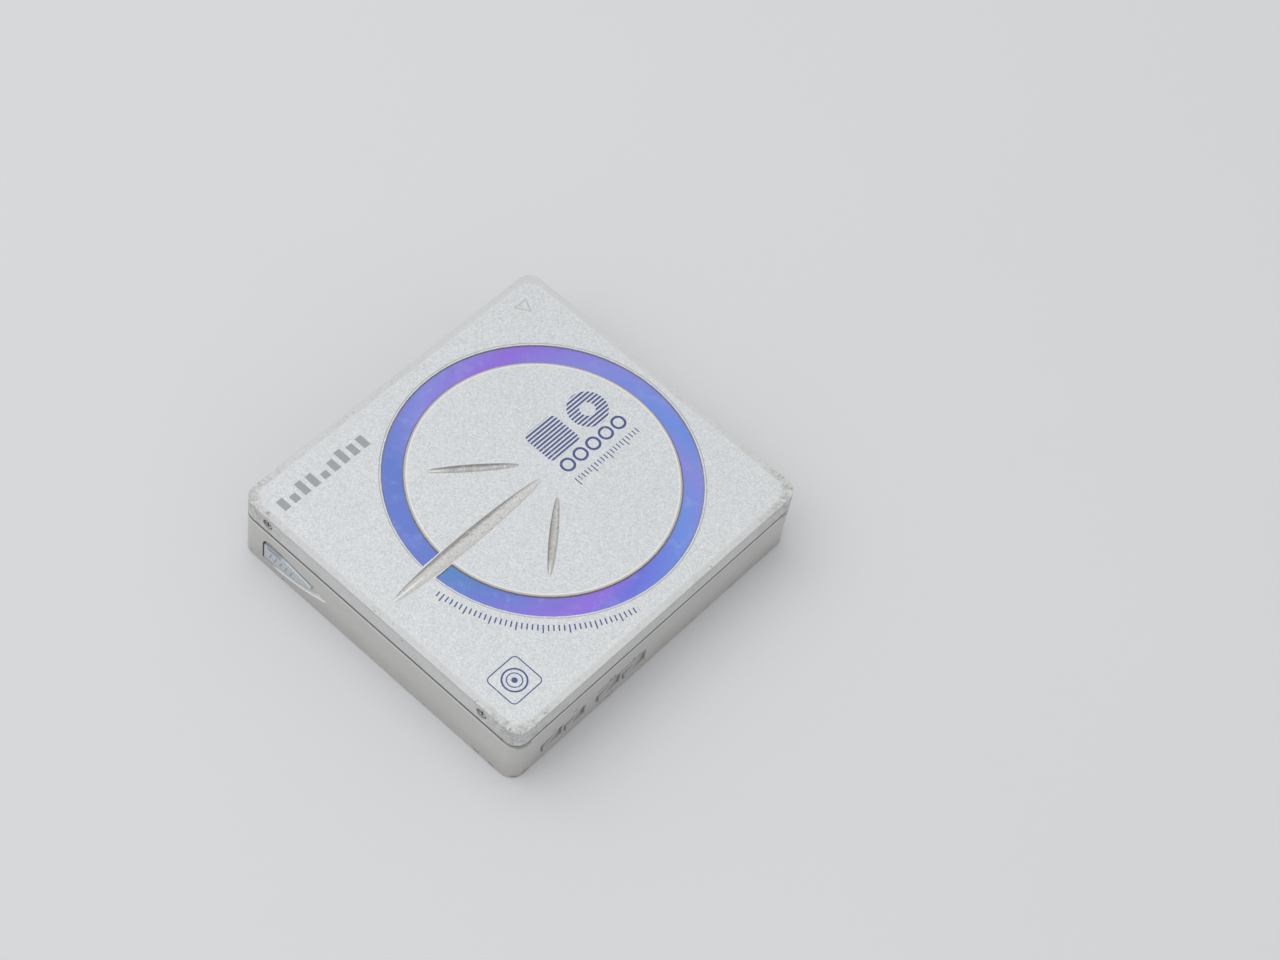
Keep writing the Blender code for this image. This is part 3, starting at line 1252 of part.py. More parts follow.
def battery_door():
    """Door in the +X wall, round at its hinge end."""
    axis = (door_axis_x(), DOOR_HINGE_Y)
    free_y = DOOR_HINGE_Y + DOOR_LENGTH
    points = arc(axis, DOOR_RADIUS, 180, 360, SMALL_SIDES)
    points += [(axis[0] + DOOR_RADIUS, free_y), (axis[0] - DOOR_RADIUS, free_y)]
    low = BATTERY_Z - DOOR_HEIGHT / 2
    hole = circle(axis, DOOR_PIN_RADIUS + DOOR_PIN_GAP, SMALL_SIDES)
    door = prism("battery_door", [points, hole], low, low + DOOR_HEIGHT)
    nail_y = free_y - DOOR_NAIL_INSET
    nail_low = (BODY_WIDTH / 2 - DOOR_NAIL_DEPTH, nail_y, BATTERY_Z - DOOR_NAIL_HALF)
    nail_high = (BODY_WIDTH / 2 + OVERRUN, nail_y + DOOR_NAIL_WIDTH, BATTERY_Z + DOOR_NAIL_HALF)
    cut(door, box("door_nail_notch", nail_low, nail_high))
    add_boolean(door, prism("door_limit", [body_outline(0)], 0, SEAM_HEIGHT), "INTERSECT")
    return keep(door, GREY_PAINT)


def battery_door_pin():
    place = (door_axis_x(), DOOR_HINGE_Y, BATTERY_Z)
    pin = cylinder("battery_door_pin", place, DOOR_PIN_RADIUS, DOOR_PIN_LENGTH, "Z", SMALL_SIDES)
    return keep(pin, STEEL)


# Keys
def key_spans():
    """Name, left end and right end of each key's opening."""
    spans = []
    for left, length, names in zip(KEY_GROUP_LEFTS, KEY_GROUP_LENGTHS, KEY_NAMES):
        each = (length - KEY_SPACING) / len(names)
        for index, name in enumerate(names):
            start = left + index * (each + KEY_SPACING)
            spans.append((name, start, start + each))
    return spans


def key_outline(left, right, inset):
    """Front view of a key: its top rises towards +X."""
    top_left = (left + inset, KEY_LEFT_TOP - inset)
    top_right = (right - inset, KEY_RIGHT_TOP - inset)
    return [(left + inset, KEY_BOTTOM + inset), (right - inset, KEY_BOTTOM + inset), top_right, top_left]


def cut_key_openings(shell):
    outside = -BODY_DEPTH / 2 - OVERRUN
    inside = -BASE_INNER_Y + OVERRUN
    for name, left, right in key_spans():
        cut(shell, prism(name + "_opening", [key_outline(left, right, 0)], outside, inside, "Y"))


def key(name, left, right):
    """Key cap: proud at its low end, sloping in towards +X, with a flange behind the wall."""
    front = -BODY_DEPTH / 2
    back = -BASE_INNER_Y + FIT_GAP
    cap = prism(name, [key_outline(left, right, KEY_GAP)], front - KEY_PROUD, back + EMBED, "Y")
    far = front - KEY_PROUD - OVERRUN
    slope = [(left, front - KEY_PROUD), (right, front + KEY_SUNK), (right, far), (left, far)]
    cut(cap, prism(name + "_slope", [slope], -OVERRUN, KEY_RIGHT_TOP + OVERRUN))
    spread = KEY_FLANGE_SPREAD
    low = (left - spread, back, KEY_BOTTOM - spread / 2)
    high = (right + spread, back + KEY_FLANGE, KEY_RIGHT_TOP + spread)
    join(cap, box(name + "_flange", low, high))
    return keep(cap, SILVER_PAINT)


def key_switch(name, left, right):
    """Click switch behind a key, on the key board."""
    back = -BASE_INNER_Y + FIT_GAP + KEY_FLANGE
    middle_x = (left + right) / 2
    middle_z = (KEY_BOTTOM + KEY_RIGHT_TOP) / 2
    plunger_tip = back + KEY_TRAVEL + RUNNING_GAP
    face = plunger_tip + SWITCH_PLUNGER_HEIGHT
    half = SWITCH_SIZE / 2
    low = (middle_x - half, face, middle_z - half)
    body = box(name, low, (middle_x + half, face + SWITCH_DEPTH, middle_z + half))
    centre = (middle_x, face, middle_z)
    length = 2 * SWITCH_PLUNGER_HEIGHT
    join(body, cylinder(name + "_plunger", centre, SWITCH_PLUNGER_RADIUS, length, "Y", SMALL_SIDES))
    return keep(body, BLACK_PLASTIC)


def key_board():
    spans = key_spans()
    back = -BASE_INNER_Y + FIT_GAP + KEY_FLANGE + KEY_TRAVEL + RUNNING_GAP
    face = back + SWITCH_PLUNGER_HEIGHT + SWITCH_DEPTH + CHIP_GAP
    low = (spans[0][1], face, FLOOR_THICKNESS + FIT_GAP)
    board = box("key_board", low, (spans[-1][2], face + KEY_BOARD_THICKNESS, KEY_BOARD_TOP))
    return keep(board, GREEN_BOARD)


# Release slide
def dish_bottom(y):
    """Height of the dish's lower edge, which rises towards its -Y tip."""
    share = max(0, (DISH_BEND_Y - y) / (DISH_BEND_Y - DISH_TIP_Y))
    return DISH_BOTTOM + (DISH_TIP_Z - DISH_BOTTOM) * share ** DISH_POWER


def dish_outline():
    """Side view of the thumb dish: a nearly straight top edge over a curved lip."""
    corner = (DISH_BACK_Y - DISH_TOP_CORNER, DISH_TOP - DISH_TOP_CORNER)
    points = arc(corner, DISH_TOP_CORNER, 90, 0, COARSE_STEPS)
    points.append((DISH_BACK_Y, DISH_BOTTOM))
    for step in range(DISH_STEPS + 1):
        y = DISH_BEND_Y + (DISH_TIP_Y - DISH_BEND_Y) * step / DISH_STEPS
        points.append((y, dish_bottom(y)))
    return points + [(DISH_SHOULDER_Y, DISH_SHOULDER_Z)]


def pad_outline():
    """Side view of the thumb pad, clear of the dish over its whole travel."""
    back = DISH_BACK_Y - SLIDE_PAD_GAP
    points = [(PAD_STEP_Y, PAD_STEP_Z), (back, PAD_TOP), (back, DISH_BOTTOM + SLIDE_PAD_GAP)]
    bend = DISH_BEND_Y + SLIDE_TRAVEL
    for step in range(DISH_STEPS + 1):
        y = bend + (PAD_TIP_Y - bend) * step / DISH_STEPS
        points.append((y, dish_bottom(y - SLIDE_TRAVEL) + SLIDE_PAD_GAP))
    return points + [(PAD_TIP_Y, PAD_TIP_Z), (PAD_SHOULDER_Y, PAD_SHOULDER_Z)]


def cut_slide_dish(shell):
    outside = -BODY_WIDTH / 2 - OVERRUN
    floor = -BODY_WIDTH / 2 + DISH_DEPTH
    cut(shell, prism("slide_dish", [dish_outline()], outside, floor, "X"))
    slot_top = SLIDE_NECK_Z + SLIDE_NECK_HEIGHT + RUNNING_GAP
    slot_low = (SLIDE_NECK_Y - SLIDE_TRAVEL - RUNNING_GAP, SLIDE_NECK_Z - RUNNING_GAP)
    slot_high = (SLIDE_NECK_Y + SLIDE_NECK_LENGTH + RUNNING_GAP, slot_top)
    slot = rounded(slot_low, slot_high, SLIDE_SLOT_CORNER, COARSE_STEPS)
    cut(shell, prism("slide_slot", [slot], floor - OVERRUN, -BASE_INNER_X + OVERRUN, "X"))
    place = (floor, DISH_MARK_Y, DISH_MARK_Z)
    cut(shell, cylinder("slide_mark", place, DISH_MARK_RADIUS, DISH_DEPTH, "X", SMALL_SIDES))


def open_slide():
    """Release slide: a plate behind the wall, a thumb pad in the dish and a claw."""
    outer = -BASE_INNER_X + FIT_GAP
    inner = outer + SLIDE_PLATE
    low = (outer, SLIDE_PLATE_FRONT_Y, SLIDE_PLATE_BOTTOM)
    slide = box("open_slide", low, (inner, SLIDE_PLATE_BACK_Y, SLIDE_PLATE_TOP))
    face = -BODY_WIDTH / 2 + SLIDE_PAD_SINK
    back = -BODY_WIDTH / 2 + DISH_DEPTH - RUNNING_GAP
    low = (back - EMBED / 2, SLIDE_NECK_Y, SLIDE_NECK_Z)
    high = (outer + EMBED, SLIDE_NECK_Y + SLIDE_NECK_LENGTH, SLIDE_NECK_Z + SLIDE_NECK_HEIGHT)
    join(slide, box("slide_neck", low, high))
    join(slide, prism("slide_pad", [pad_outline()], face, back, "X"))
    low = (outer, CLAW_Y - CLAW_WIDTH / 2, SLIDE_PLATE_TOP - EMBED)
    join(slide, box("slide_claw", low, (inner, CLAW_Y + CLAW_WIDTH / 2, CLAW_TOP)))
    low = (inner - EMBED, SLIDE_LUG_Y, SLIDE_SPRING_Z - SLIDE_LUG_LENGTH / 2)
    high = (inner + SLIDE_LUG_REACH, SLIDE_LUG_Y + SLIDE_LUG_LENGTH, SLIDE_SPRING_Z + SLIDE_LUG_LENGTH / 2)
    join(slide, box("slide_lug", low, high))
    return keep(slide, BLUE_SILVER)


def slide_spring_x():
    return -BASE_INNER_X + FIT_GAP + SLIDE_PLATE + SLIDE_LUG_REACH / 2 + RUNNING_GAP


def add_spring_peg(shell):
    """Peg that holds the fixed end of the release slide's spring."""
    start = SLIDE_LUG_Y + SLIDE_LUG_LENGTH + SLIDE_SPRING_LENGTH
    y = start + 2 * FIT_GAP + 2 * SLIDE_SPRING_WIRE + SLIDE_SPRING_RADIUS
    top = SLIDE_SPRING_Z + SLIDE_SPRING_RADIUS
    low = FLOOR_THICKNESS - EMBED
    middle = (slide_spring_x(), y, (low + top) / 2)
    join(shell, cylinder("spring_peg", middle, SLIDE_SPRING_RADIUS, top - low, "Z", SMALL_SIDES))


def slide_spring():
    """Small coil that pulls the release slide back."""
    x = slide_spring_x()
    start = SLIDE_LUG_Y + SLIDE_LUG_LENGTH + FIT_GAP + SLIDE_SPRING_WIRE
    curve = bpy.data.curves.new("slide_spring", "CURVE")
    curve.dimensions = "3D"
    curve.bevel_depth = SLIDE_SPRING_WIRE
    curve.bevel_resolution = 1
    curve.use_fill_caps = True
    spline = curve.splines.new("POLY")
    count = SLIDE_SPRING_COILS * COIL_POINTS
    spline.points.add(count)
    for index, point in enumerate(spline.points):
        angle = 2 * math.pi * index / COIL_POINTS
        along = start + SLIDE_SPRING_LENGTH * index / count
        point.co = (
            x + SLIDE_SPRING_RADIUS * math.cos(angle),
            along,
            SLIDE_SPRING_Z + SLIDE_SPRING_RADIUS * math.sin(angle),
            1,
        )
    coil = curve_to_mesh("slide_spring", curve, Matrix.Identity(4))
    return keep(coil, STEEL)


# Hold switch
def hold_switch():
    """Sliding knob with its plate behind the wall."""
    outer = BASE_INNER_X - FIT_GAP
    inner = outer - HOLD_PLATE_THICKNESS
    half_plate = HOLD_PLATE_LENGTH / 2
    middle = HOLD_Y + HOLD_TRAVEL / 2
    low = (inner, middle - half_plate, HOLD_Z - HOLD_PLATE_HEIGHT / 2)
    high = (outer, middle + half_plate - HOLD_TRAVEL, HOLD_Z + HOLD_PLATE_HEIGHT / 2)
    knob = box("hold_switch", low, high)
    half_height = HOLD_KNOB_HEIGHT / 2
    low = (HOLD_Y - HOLD_KNOB_LENGTH / 2, HOLD_Z - half_height)
    high = (HOLD_Y + HOLD_KNOB_LENGTH / 2, HOLD_Z + half_height)
    outline = rounded(low, high, half_height / 2, COARSE_STEPS)
    join(knob, prism("hold_grip", [outline], outer - EMBED, BODY_WIDTH / 2 + HOLD_PROUD, "X"))
    return keep(knob, SILVER_PAINT)


def hold_switch_unit():
    outer = BASE_INNER_X - FIT_GAP - HOLD_PLATE_THICKNESS - FIT_GAP
    half_plate = HOLD_PLATE_LENGTH / 2
    middle = HOLD_Y + HOLD_TRAVEL / 2
    low = (outer - HOLD_UNIT_DEPTH, middle - half_plate, FLOOR_THICKNESS + FIT_GAP)
    unit = box("hold_switch_unit", low, (outer, middle + half_plate, HOLD_Z + HOLD_PLATE_HEIGHT / 2))
    return keep(unit, BLACK_PLASTIC)


def build():
    lid_pieces = [lid_shell(), lid_ring(), disc_holder(), lid_catch()]
    lid_pieces += lid_screws() + cartridge_springs()
    joint_axis("lid_axis", (0, HINGE_Y, HINGE_Z), lid_pieces)
    base_shell()
    bottom_cover()
    cover_screws()
    chassis_plate()
    hinge_pins()
    chassis_dampers()
    lift_springs()
    joint_axis("spindle_axis", (SPINDLE_X, 0, HUB_TOP), [turntable(), clamp_magnet()])
    spindle_motor()
    joint_axis("sled_axis", (SLED_HOME_X, 0, ROD_Z), [pickup_sled(), pickup_lens()])
    guide_rods()
    joint_axis("lead_screw_axis", (GEAR_X, LEAD_SCREW_Y, LEAD_SCREW_Z), [lead_screw(), lead_screw_gear()])
    pinion_y = LEAD_SCREW_Y - gear_distance()
    joint_axis("motor_axis", (GEAR_X, pinion_y, LEAD_SCREW_Z), [motor_pinion()])
    sled_motor()
    main_board()
    chips()
    phones_socket()
    power_socket()
    battery()
    battery_case()
    inner_contact, door_contact = battery_contacts()
    door_place = (door_axis_x(), DOOR_HINGE_Y, BATTERY_Z)
    joint_axis("battery_door_axis", door_place, [battery_door(), door_contact])
    battery_door_pin()
    for name, left, right in key_spans():
        place = ((left + right) / 2, -BODY_DEPTH / 2, KEY_BOTTOM)
        joint_axis(name + "_axis", place, [key(name, left, right)])
        key_switch(name + "_switch", left, right)
    key_board()
    joint_axis("open_slide_axis", (-BASE_INNER_X, DISH_BACK_Y, DISH_TOP), [open_slide()])
    slide_spring()
    joint_axis("hold_axis", (BASE_INNER_X, HOLD_Y, HOLD_Z), [hold_switch()])
    hold_switch_unit()


build()
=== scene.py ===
"""Paint, marks, light and camera for the slim portable disc player."""
import json
import math

import bpy
from bpy.props import FloatProperty, FloatVectorProperty, PointerProperty
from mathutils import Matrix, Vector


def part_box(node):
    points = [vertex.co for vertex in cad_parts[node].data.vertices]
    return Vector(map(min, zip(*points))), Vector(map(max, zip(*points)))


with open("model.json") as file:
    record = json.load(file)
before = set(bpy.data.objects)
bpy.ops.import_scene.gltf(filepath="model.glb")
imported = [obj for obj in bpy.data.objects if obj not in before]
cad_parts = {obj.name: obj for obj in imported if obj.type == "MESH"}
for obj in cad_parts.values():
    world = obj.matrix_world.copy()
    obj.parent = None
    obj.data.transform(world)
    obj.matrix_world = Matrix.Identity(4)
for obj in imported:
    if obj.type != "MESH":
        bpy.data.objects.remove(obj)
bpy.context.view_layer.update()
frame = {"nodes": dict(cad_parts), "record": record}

bl_info = {
    "name": "Portable Disc Player Looks",
    "version": (1, 0, 0),
    "blender": (4, 5, 0),
    "location": "View3D > Sidebar > Disc Player",
    "description": "Dresses the slim disc player in worn silver paint and sets up its studio",
    "category": "Object",
}

# Places on the player, read from the frame
LID_LOW, LID_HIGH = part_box("lid_shell")
BASE_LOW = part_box("base_shell")[0]
RING_LOW, RING_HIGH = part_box("lid_ring")
HALF_WIDTH = (LID_HIGH[0] - LID_LOW[0]) / 2
HALF_DEPTH = (LID_HIGH[1] - LID_LOW[1]) / 2
TOP_FACE = LID_HIGH[2]
SEAM = LID_LOW[2]
RING_WIDTH = 0.00402
RING_CENTRE_X = (RING_LOW[0] + RING_HIGH[0]) / 2
RING_OUTER = (RING_HIGH[1] - RING_LOW[1]) / 2
RING_INNER = RING_OUTER - RING_WIDTH
RING_MIDDLE = (RING_OUTER + RING_INNER) / 2

# Plan of the player, and of the flat top inside the lid's rounded edge
CORNER_RADIUS = 0.003
RIM_WIDTH = 0.0014
RIM_RADIUS = 0.0034

# Grooves in the lid: start, end, width
GROOVES = (
    ((-0.03545, 0.0), (0.00475, 0.0), 0.0031),
    ((-0.01035, 0.0164), (0.00395, 0.0050), 0.0017),
    ((-0.01035, -0.0164), (0.00395, -0.0050), 0.0017),
)
GROOVE_POWER = 0.5

# Recess of the ring, open where the long groove crosses it
RECESS_DEPTH = 0.00004
RECESS_HALF = 0.0024
RING_GAP_HALF = 0.0018

# Lower edge of the thumb dish, where the painted highlight runs: it rises from the bend to the
# pointed end
LIP_BEND_Y = 0.0270
LIP_TIP_Y = 0.0132
LIP_LOW = 0.0023
LIP_RISE = 0.0035
LIP_POWER = 1.9

# Upper edge of the dish, and its back end, where painted shadow lies
TOP_EDGE_START = 0.0165
TOP_EDGE_END = 0.0287
TOP_EDGE_LOW = 0.0070
TOP_EDGE_SLOPE = 0.1475
DISH_BACK_Y = 0.0303
DISH_BACK_HIGH = 0.0072
DISH_FLOOR_END = 0.0306
DISH_FLOOR_HIGH = 0.0090

# Signs over the keys
MINUS_X = -0.0287
PLUS_X = -0.0227
SIGN_HEIGHT = 0.0071
SIGN_HALF = 0.00055
SIGN_LINE = 0.00010
# Arrow signs: middle, side that they point to
ARROW_SIGNS = ((-0.0133, -1.0), (-0.0122, -1.0), (-0.0065, 1.0))
ARROW_SLOPE = 0.62
ARROW_HALF = 0.00030
ARROW_BACK = -0.00045
PAUSE_BARS = (-0.0050, -0.0054)
PAUSE_BAR_HALF = 0.00009
PAUSE_BAR_HIGH = 0.00050
# Painted shadow along the upper edges of the key openings: height, half line, middle, half length,
# share
KEY_EDGE_SHADOWS = (
    (0.00505, 0.00015, -0.02595, 0.0060, 0.6),
    (0.00635, 0.00020, -0.0099, 0.00685, 1.0),
)

# Row of circles and its scale on the lid
ROW_LEFT = 0.0090
ROW_RIGHT = 0.0270

# Softness of a printed edge
PRINT_EDGE = 0.00003

# The photograph's camera
CAMERA_PLACE = (-0.244577, -0.1821, 0.478754)
CAMERA_TURN = (33.5257, -6.5463, -47.5379)
CAMERA_LENS = 81.442
SENSOR_WIDTH = 36.0

# Studio
LAMP_PLACE = (-0.26, 0.30, 1.20)
FLOOR_HALF = 3.0
FLOOR_GAP = 0.00005

# Sockets of the Mix node in its colour mode
MIX_SHARE = 0
MIX_FIRST = 6
MIX_SECOND = 7
MIX_COLOUR_OUT = 2


def srgb(red, green, blue):
    """Linear colour from display values of 0 to 255."""
    values = []
    for value in (red / 255, green / 255, blue / 255):
        values.append(value / 12.92 if value <= 0.04045 else ((value + 0.055) / 1.055) ** 2.4)
    return (*values, 1.0)


def shade(colour, share):
    """The colour with its light cut to a share."""
    return tuple(value * share for value in colour[:3]) + (1.0,)


NAVY = srgb(52, 66, 128)
GREY_PRINT = srgb(150, 152, 156)
PALE_GREY = srgb(182, 184, 180)
# Dark brown for real dirt, also used as painted shadow along the thumb dish's edges
DIRT_AND_SHADOW = srgb(96, 88, 78)
GROOVE_OUTLINE = srgb(120, 116, 110)
SEAM_SHADE = srgb(104, 102, 98)

# Floor and upper edge of each groove, both toned as painted shade, in the order of GROOVES
GROOVE_SHADE_TONES = (
    (srgb(198, 197, 195), srgb(150, 149, 148)),
    (srgb(168, 167, 164), srgb(146, 145, 142)),
    (srgb(180, 179, 176), srgb(158, 157, 154)),
)

# Lines round the ring on the lid, a dark outer line, a band of painted shade inside the ring and a
# painted highlight inside that: radius, half width, share, tone
RING_LINES = (
    (RING_OUTER + 0.00052, 0.00009, 0.70, srgb(144, 143, 136)),
    (RING_INNER - 0.00030, 0.00018, 0.85, srgb(176, 172, 166)),
    (RING_INNER - 0.00066, 0.00014, 0.60, srgb(234, 231, 226)),
)

# Foil tones by the angle round the ring, from the +X side: the blue-violet foil with its
# iridescent reflection painted in
TEAL = srgb(80, 130, 190)
BLUE = srgb(95, 120, 200)
SKY = srgb(105, 140, 220)
VIOLET = srgb(100, 110, 215)
PINK = srgb(140, 105, 215)
LAVENDER = srgb(130, 135, 215)
RING_FOIL_AND_SHEEN_COLOURS = (
    (-180, TEAL),
    (-160, BLUE),
    (-120, PINK),
    (-100, VIOLET),
    (-70, SKY),
    (-40, LAVENDER),
    (-20, SKY),
    (20, LAVENDER),
    (60, PINK),
    (100, LAVENDER),
    (130, BLUE),
    (180, BLUE),
)
RING_SKEW = 11.0

# Bright metals: material, bright and dull tones, roughness, slot in the record
METALS = (
    ("sheet_steel", srgb(206, 205, 200), srgb(176, 174, 168), 0.28, "sheet_steel"),
    ("rod_steel", srgb(216, 216, 214), srgb(190, 190, 188), 0.12, "rod_steel"),
    ("motor_steel", srgb(200, 199, 192), srgb(166, 164, 156), 0.32, "motor_can"),
    ("pinion_brass", srgb(212, 182, 110), srgb(172, 140, 76), 0.25, "brass"),
    ("magnet_plating", srgb(84, 84, 86), srgb(60, 60, 62), 0.30, "magnet"),
)
METAL_GRAIN = (120.0, 900.0, 900.0)

# Moulded pieces: material, tone, roughness, size of the texture's lumps, slot in the record
MOULDINGS = (
    ("black_moulding", srgb(34, 34, 37), 0.42, 0.00035, "black_plastic"),
    ("white_moulding", srgb(222, 220, 210), 0.38, 0.00035, "white_plastic"),
    ("damper_rubber", srgb(44, 43, 42), 0.75, 0.0006, "damper_rubber"),
)


class Field:
    """A value that varies over a surface. Arithmetic on it adds Math nodes."""

    def __init__(self, paint, socket):
        self.paint = paint
        self.socket = socket

    def math(self, operation, *others, swap=False):
        values = [self, *others]
        if swap:
            values.reverse()
        made = self.paint.tree.nodes.new("ShaderNodeMath")
        made.operation = operation
        for socket, value in zip(made.inputs, values):
            self.paint.feed(socket, value)
        return Field(self.paint, made.outputs[0])

    def __add__(self, other):
        return self.math("ADD", other)

    __radd__ = __add__

    def __sub__(self, other):
        return self.math("SUBTRACT", other)

    def __rsub__(self, other):
        return self.math("SUBTRACT", other, swap=True)

    def __mul__(self, other):
        return self.math("MULTIPLY", other)

    __rmul__ = __mul__

    def __truediv__(self, other):
        return self.math("DIVIDE", other)

    def __pow__(self, other):
        return self.math("POWER", other)

    def __mod__(self, other):
        return self.math("FLOORED_MODULO", other)

    def __neg__(self):
        return self * -1.0

    def __abs__(self):
        return self.math("ABSOLUTE")

    def least(self, other):
        return self.math("MINIMUM", other)

    def most(self, other):
        return self.math("MAXIMUM", other)

    def step(self, low, high, start=0.0, end=1.0):
        """Smooth change from start to end as the value goes from low to high."""
        limits = {"Value": self, "From Min": low, "From Max": high, "To Min": start, "To Max": end}
        return self.paint.node("ShaderNodeMapRange", {"interpolation_type": "SMOOTHSTEP"}, limits)

    def below(self, limit, soft=PRINT_EDGE):
        """One where the value is under the limit, with a soft edge."""
        return self.step(limit - soft, limit + soft, 1.0, 0.0)

    def above(self, limit, soft=PRINT_EDGE):
        """One where the value is over the limit, with a soft edge."""
        return self.step(limit - soft, limit + soft)


class Paint:
    """A material in the making, and the node tree that it is made of."""

    def __init__(self, name):
        self.material = bpy.data.materials.new(name)
        self.material.use_nodes = True
        self.tree = self.material.node_tree
        self.tree.nodes.clear()
        self.place = self.node("ShaderNodeTexCoord", output="Object")
        self.x, self.y, self.z = self.split(self.place)

    def feed(self, socket, value):
        if isinstance(value, Field):
            self.tree.links.new(value.socket, socket)
        else:
            socket.default_value = value

    def node(self, kind, settings=None, inputs=None, output=0):
        """Any node: its settings go in first, then its inputs' values or links."""
        made = self.tree.nodes.new(kind)
        for name, value in (settings or {}).items():
            if name == "stops":
                fill_ramp(made.color_ramp, value)
            else:
                setattr(made, name, value)
        for name, value in (inputs or {}).items():
            self.feed(made.inputs[name], value)
        return Field(self, made.outputs[output]) if len(made.outputs) else None

    def split(self, vector):
        parts = self.node("ShaderNodeSeparateXYZ", inputs={0: vector})
        outputs = parts.socket.node.outputs
        return tuple(Field(self, socket) for socket in outputs)

    def stretched(self, scale):
        """Surface position scaled along each axis."""
        inputs = {0: self.place, 1: scale}
        return self.node("ShaderNodeVectorMath", {"operation": "MULTIPLY"}, inputs)

    def noise(self, size, detail=2.0, rough=0.5, seed=0.0, place=None):
        """Soft noise from 0 to 1 whose lumps are about size across."""
        inputs = {
            "Vector": place or self.place,
            "W": seed,
            "Scale": 1 / size,
            "Detail": detail,
            "Roughness": rough,
        }
        return self.node("ShaderNodeTexNoise", {"noise_dimensions": "4D"}, inputs)

    def cells(self, size):
        """Distance to the nearest of points scattered about size apart."""
        inputs = {"Vector": self.place, "Scale": 1 / size}
        return self.node("ShaderNodeTexVoronoi", {"feature": "F1"}, inputs, "Distance")

    def mix(self, share, first, second):
        """Colour between two, by a share of 0 to 1."""
        inputs = {MIX_SHARE: share, MIX_FIRST: first, MIX_SECOND: second}
        return self.node("ShaderNodeMix", {"data_type": "RGBA"}, inputs, MIX_COLOUR_OUT)

    def cover(self, colour, *layers):
        """Lay tones over a colour, one after another, each by its own share."""
        for share, tone in layers:
            colour = self.mix(share, colour, tone)
        return colour

    def ramp(self, value, stops):
        return self.node("ShaderNodeValToRGB", {"stops": stops}, {0: value})

    def bump(self, height, strength, distance):
        inputs = {"Height": height, "Strength": strength, "Distance": distance}
        return self.node("ShaderNodeBump", {}, inputs)

    def surface(self, inputs):
        """Join the values to the surface shader and return the finished material."""
        shader = self.node("ShaderNodeBsdfPrincipled", {}, inputs)
        self.node("ShaderNodeOutputMaterial", {}, {"Surface": shader})
        return self.material


def fill_ramp(ramp, stops):
    while len(ramp.elements) < len(stops):
        ramp.elements.new(1.0)
    for element, (place, colour) in zip(ramp.elements, stops):
        element.position = place
        element.color = colour


def length(across, up):
    return (across * across + up * up).math("SQRT")


def rounded_box(across, up, centre, half, radius):
    """Distance outside a rectangle with round corners, negative inside it."""
    side = abs(across - centre[0]) - (half[0] - radius)
    end = abs(up - centre[1]) - (half[1] - radius)
    outside = length(side.most(0.0), end.most(0.0))
    return outside + side.most(end).least(0.0) - radius


def disc(across, up, centre, radius):
    return length(across - centre[0], up - centre[1]) - radius


def repeated(place, start, pitch, middle):
    """Distance from the middle of the nearest of marks that repeat from start."""
    return abs(((place - start) % pitch) - middle)


def plan_distance(paint, inset, radius):
    """Distance outside the player's plan, drawn in by an inset."""
    half = (HALF_WIDTH - inset, HALF_DEPTH - inset)
    return rounded_box(paint.x, paint.y, (0.0, 0.0), half, radius)


def groove_distance(paint, start, end, width):
    """Distance outside a pointed groove, and how far across and along it a point lies."""
    run = math.dist(start, end)
    turn_x = (end[0] - start[0]) / run
    turn_y = (end[1] - start[1]) / run
    from_x = paint.x - start[0]
    from_y = paint.y - start[1]
    along = ((from_x * turn_x + from_y * turn_y) / run).most(0.0).least(1.0)
    across = from_x * turn_y - from_y * turn_x
    half = (along * math.pi).math("SINE") ** GROOVE_POWER * (width / 2)
    return abs(across) - half, across, along


def level_bars(paint):
    """Bars of uneven height by the +Y edge."""
    left, pitch, foot = -0.03635, 0.0026, 0.0280
    shortest, spread = 0.0016, 0.0019
    row_middle, row_half = -0.02465, 0.0117
    place = (paint.x - left) / pitch
    cell = place.math("FLOOR")
    reach = paint.node("ShaderNodeTexWhiteNoise", {"noise_dimensions": "1D"}, {"W": cell})
    height = reach * spread + shortest
    up = paint.y - foot
    bar = abs(place - cell - 0.5).below(0.30, 0.02) * up.above(0.0) * (up - height).below(0.0)
    return bar * abs(paint.x - row_middle).below(row_half)


def striped_shapes(paint):
    """Block and open disc, cut into stripes."""
    start, pitch, line_half = -0.0200, 0.00078, 0.00021
    block_centre, block_half, block_corner = (0.0131, 0.0050), (0.0041, 0.0041), 0.0014
    wheel_centre, wheel_radius, wheel_band = (0.0231, 0.0050), 0.0042, 0.0026
    stripe = repeated(paint.y, start, pitch, pitch / 2).below(line_half)
    block = rounded_box(paint.x, paint.y, block_centre, block_half, block_corner).below(0.0)
    wheel = disc(paint.x, paint.y, wheel_centre, wheel_radius)
    hoop = wheel.below(0.0) * (wheel + wheel_band).above(0.0)
    return block.most(hoop) * stripe


def in_row(paint):
    """One between the ends of the row."""
    return paint.x.above(ROW_LEFT) * paint.x.below(ROW_RIGHT)


def circle_row(paint):
    """Row of small circles under the striped shapes."""
    pitch, level = 0.0036, -0.0013
    half, corner, line = 0.0013, 0.0012, 0.00026
    cell = (paint.x - ROW_LEFT) % pitch
    circles = rounded_box(cell, paint.y, (pitch / 2, level), (half, half), corner)
    return abs(circles).below(line) * in_row(paint)


def fine_scale(paint):
    """Ticks under the row of circles, every fifth one longer."""
    pitch, long_pitch, line_half = 0.0009, 0.0045, 0.00012
    top, foot, long_foot = -0.0044, -0.0056, -0.0063
    tick = repeated(paint.x, ROW_LEFT, pitch, pitch / 2).below(line_half)
    long_tick = repeated(paint.x, ROW_LEFT, long_pitch, pitch / 2).below(line_half)
    low_end = (paint.y - foot).above(0.0).most(long_tick * (paint.y - long_foot).above(0.0))
    return tick * in_row(paint) * low_end * (paint.y - top).below(0.0)


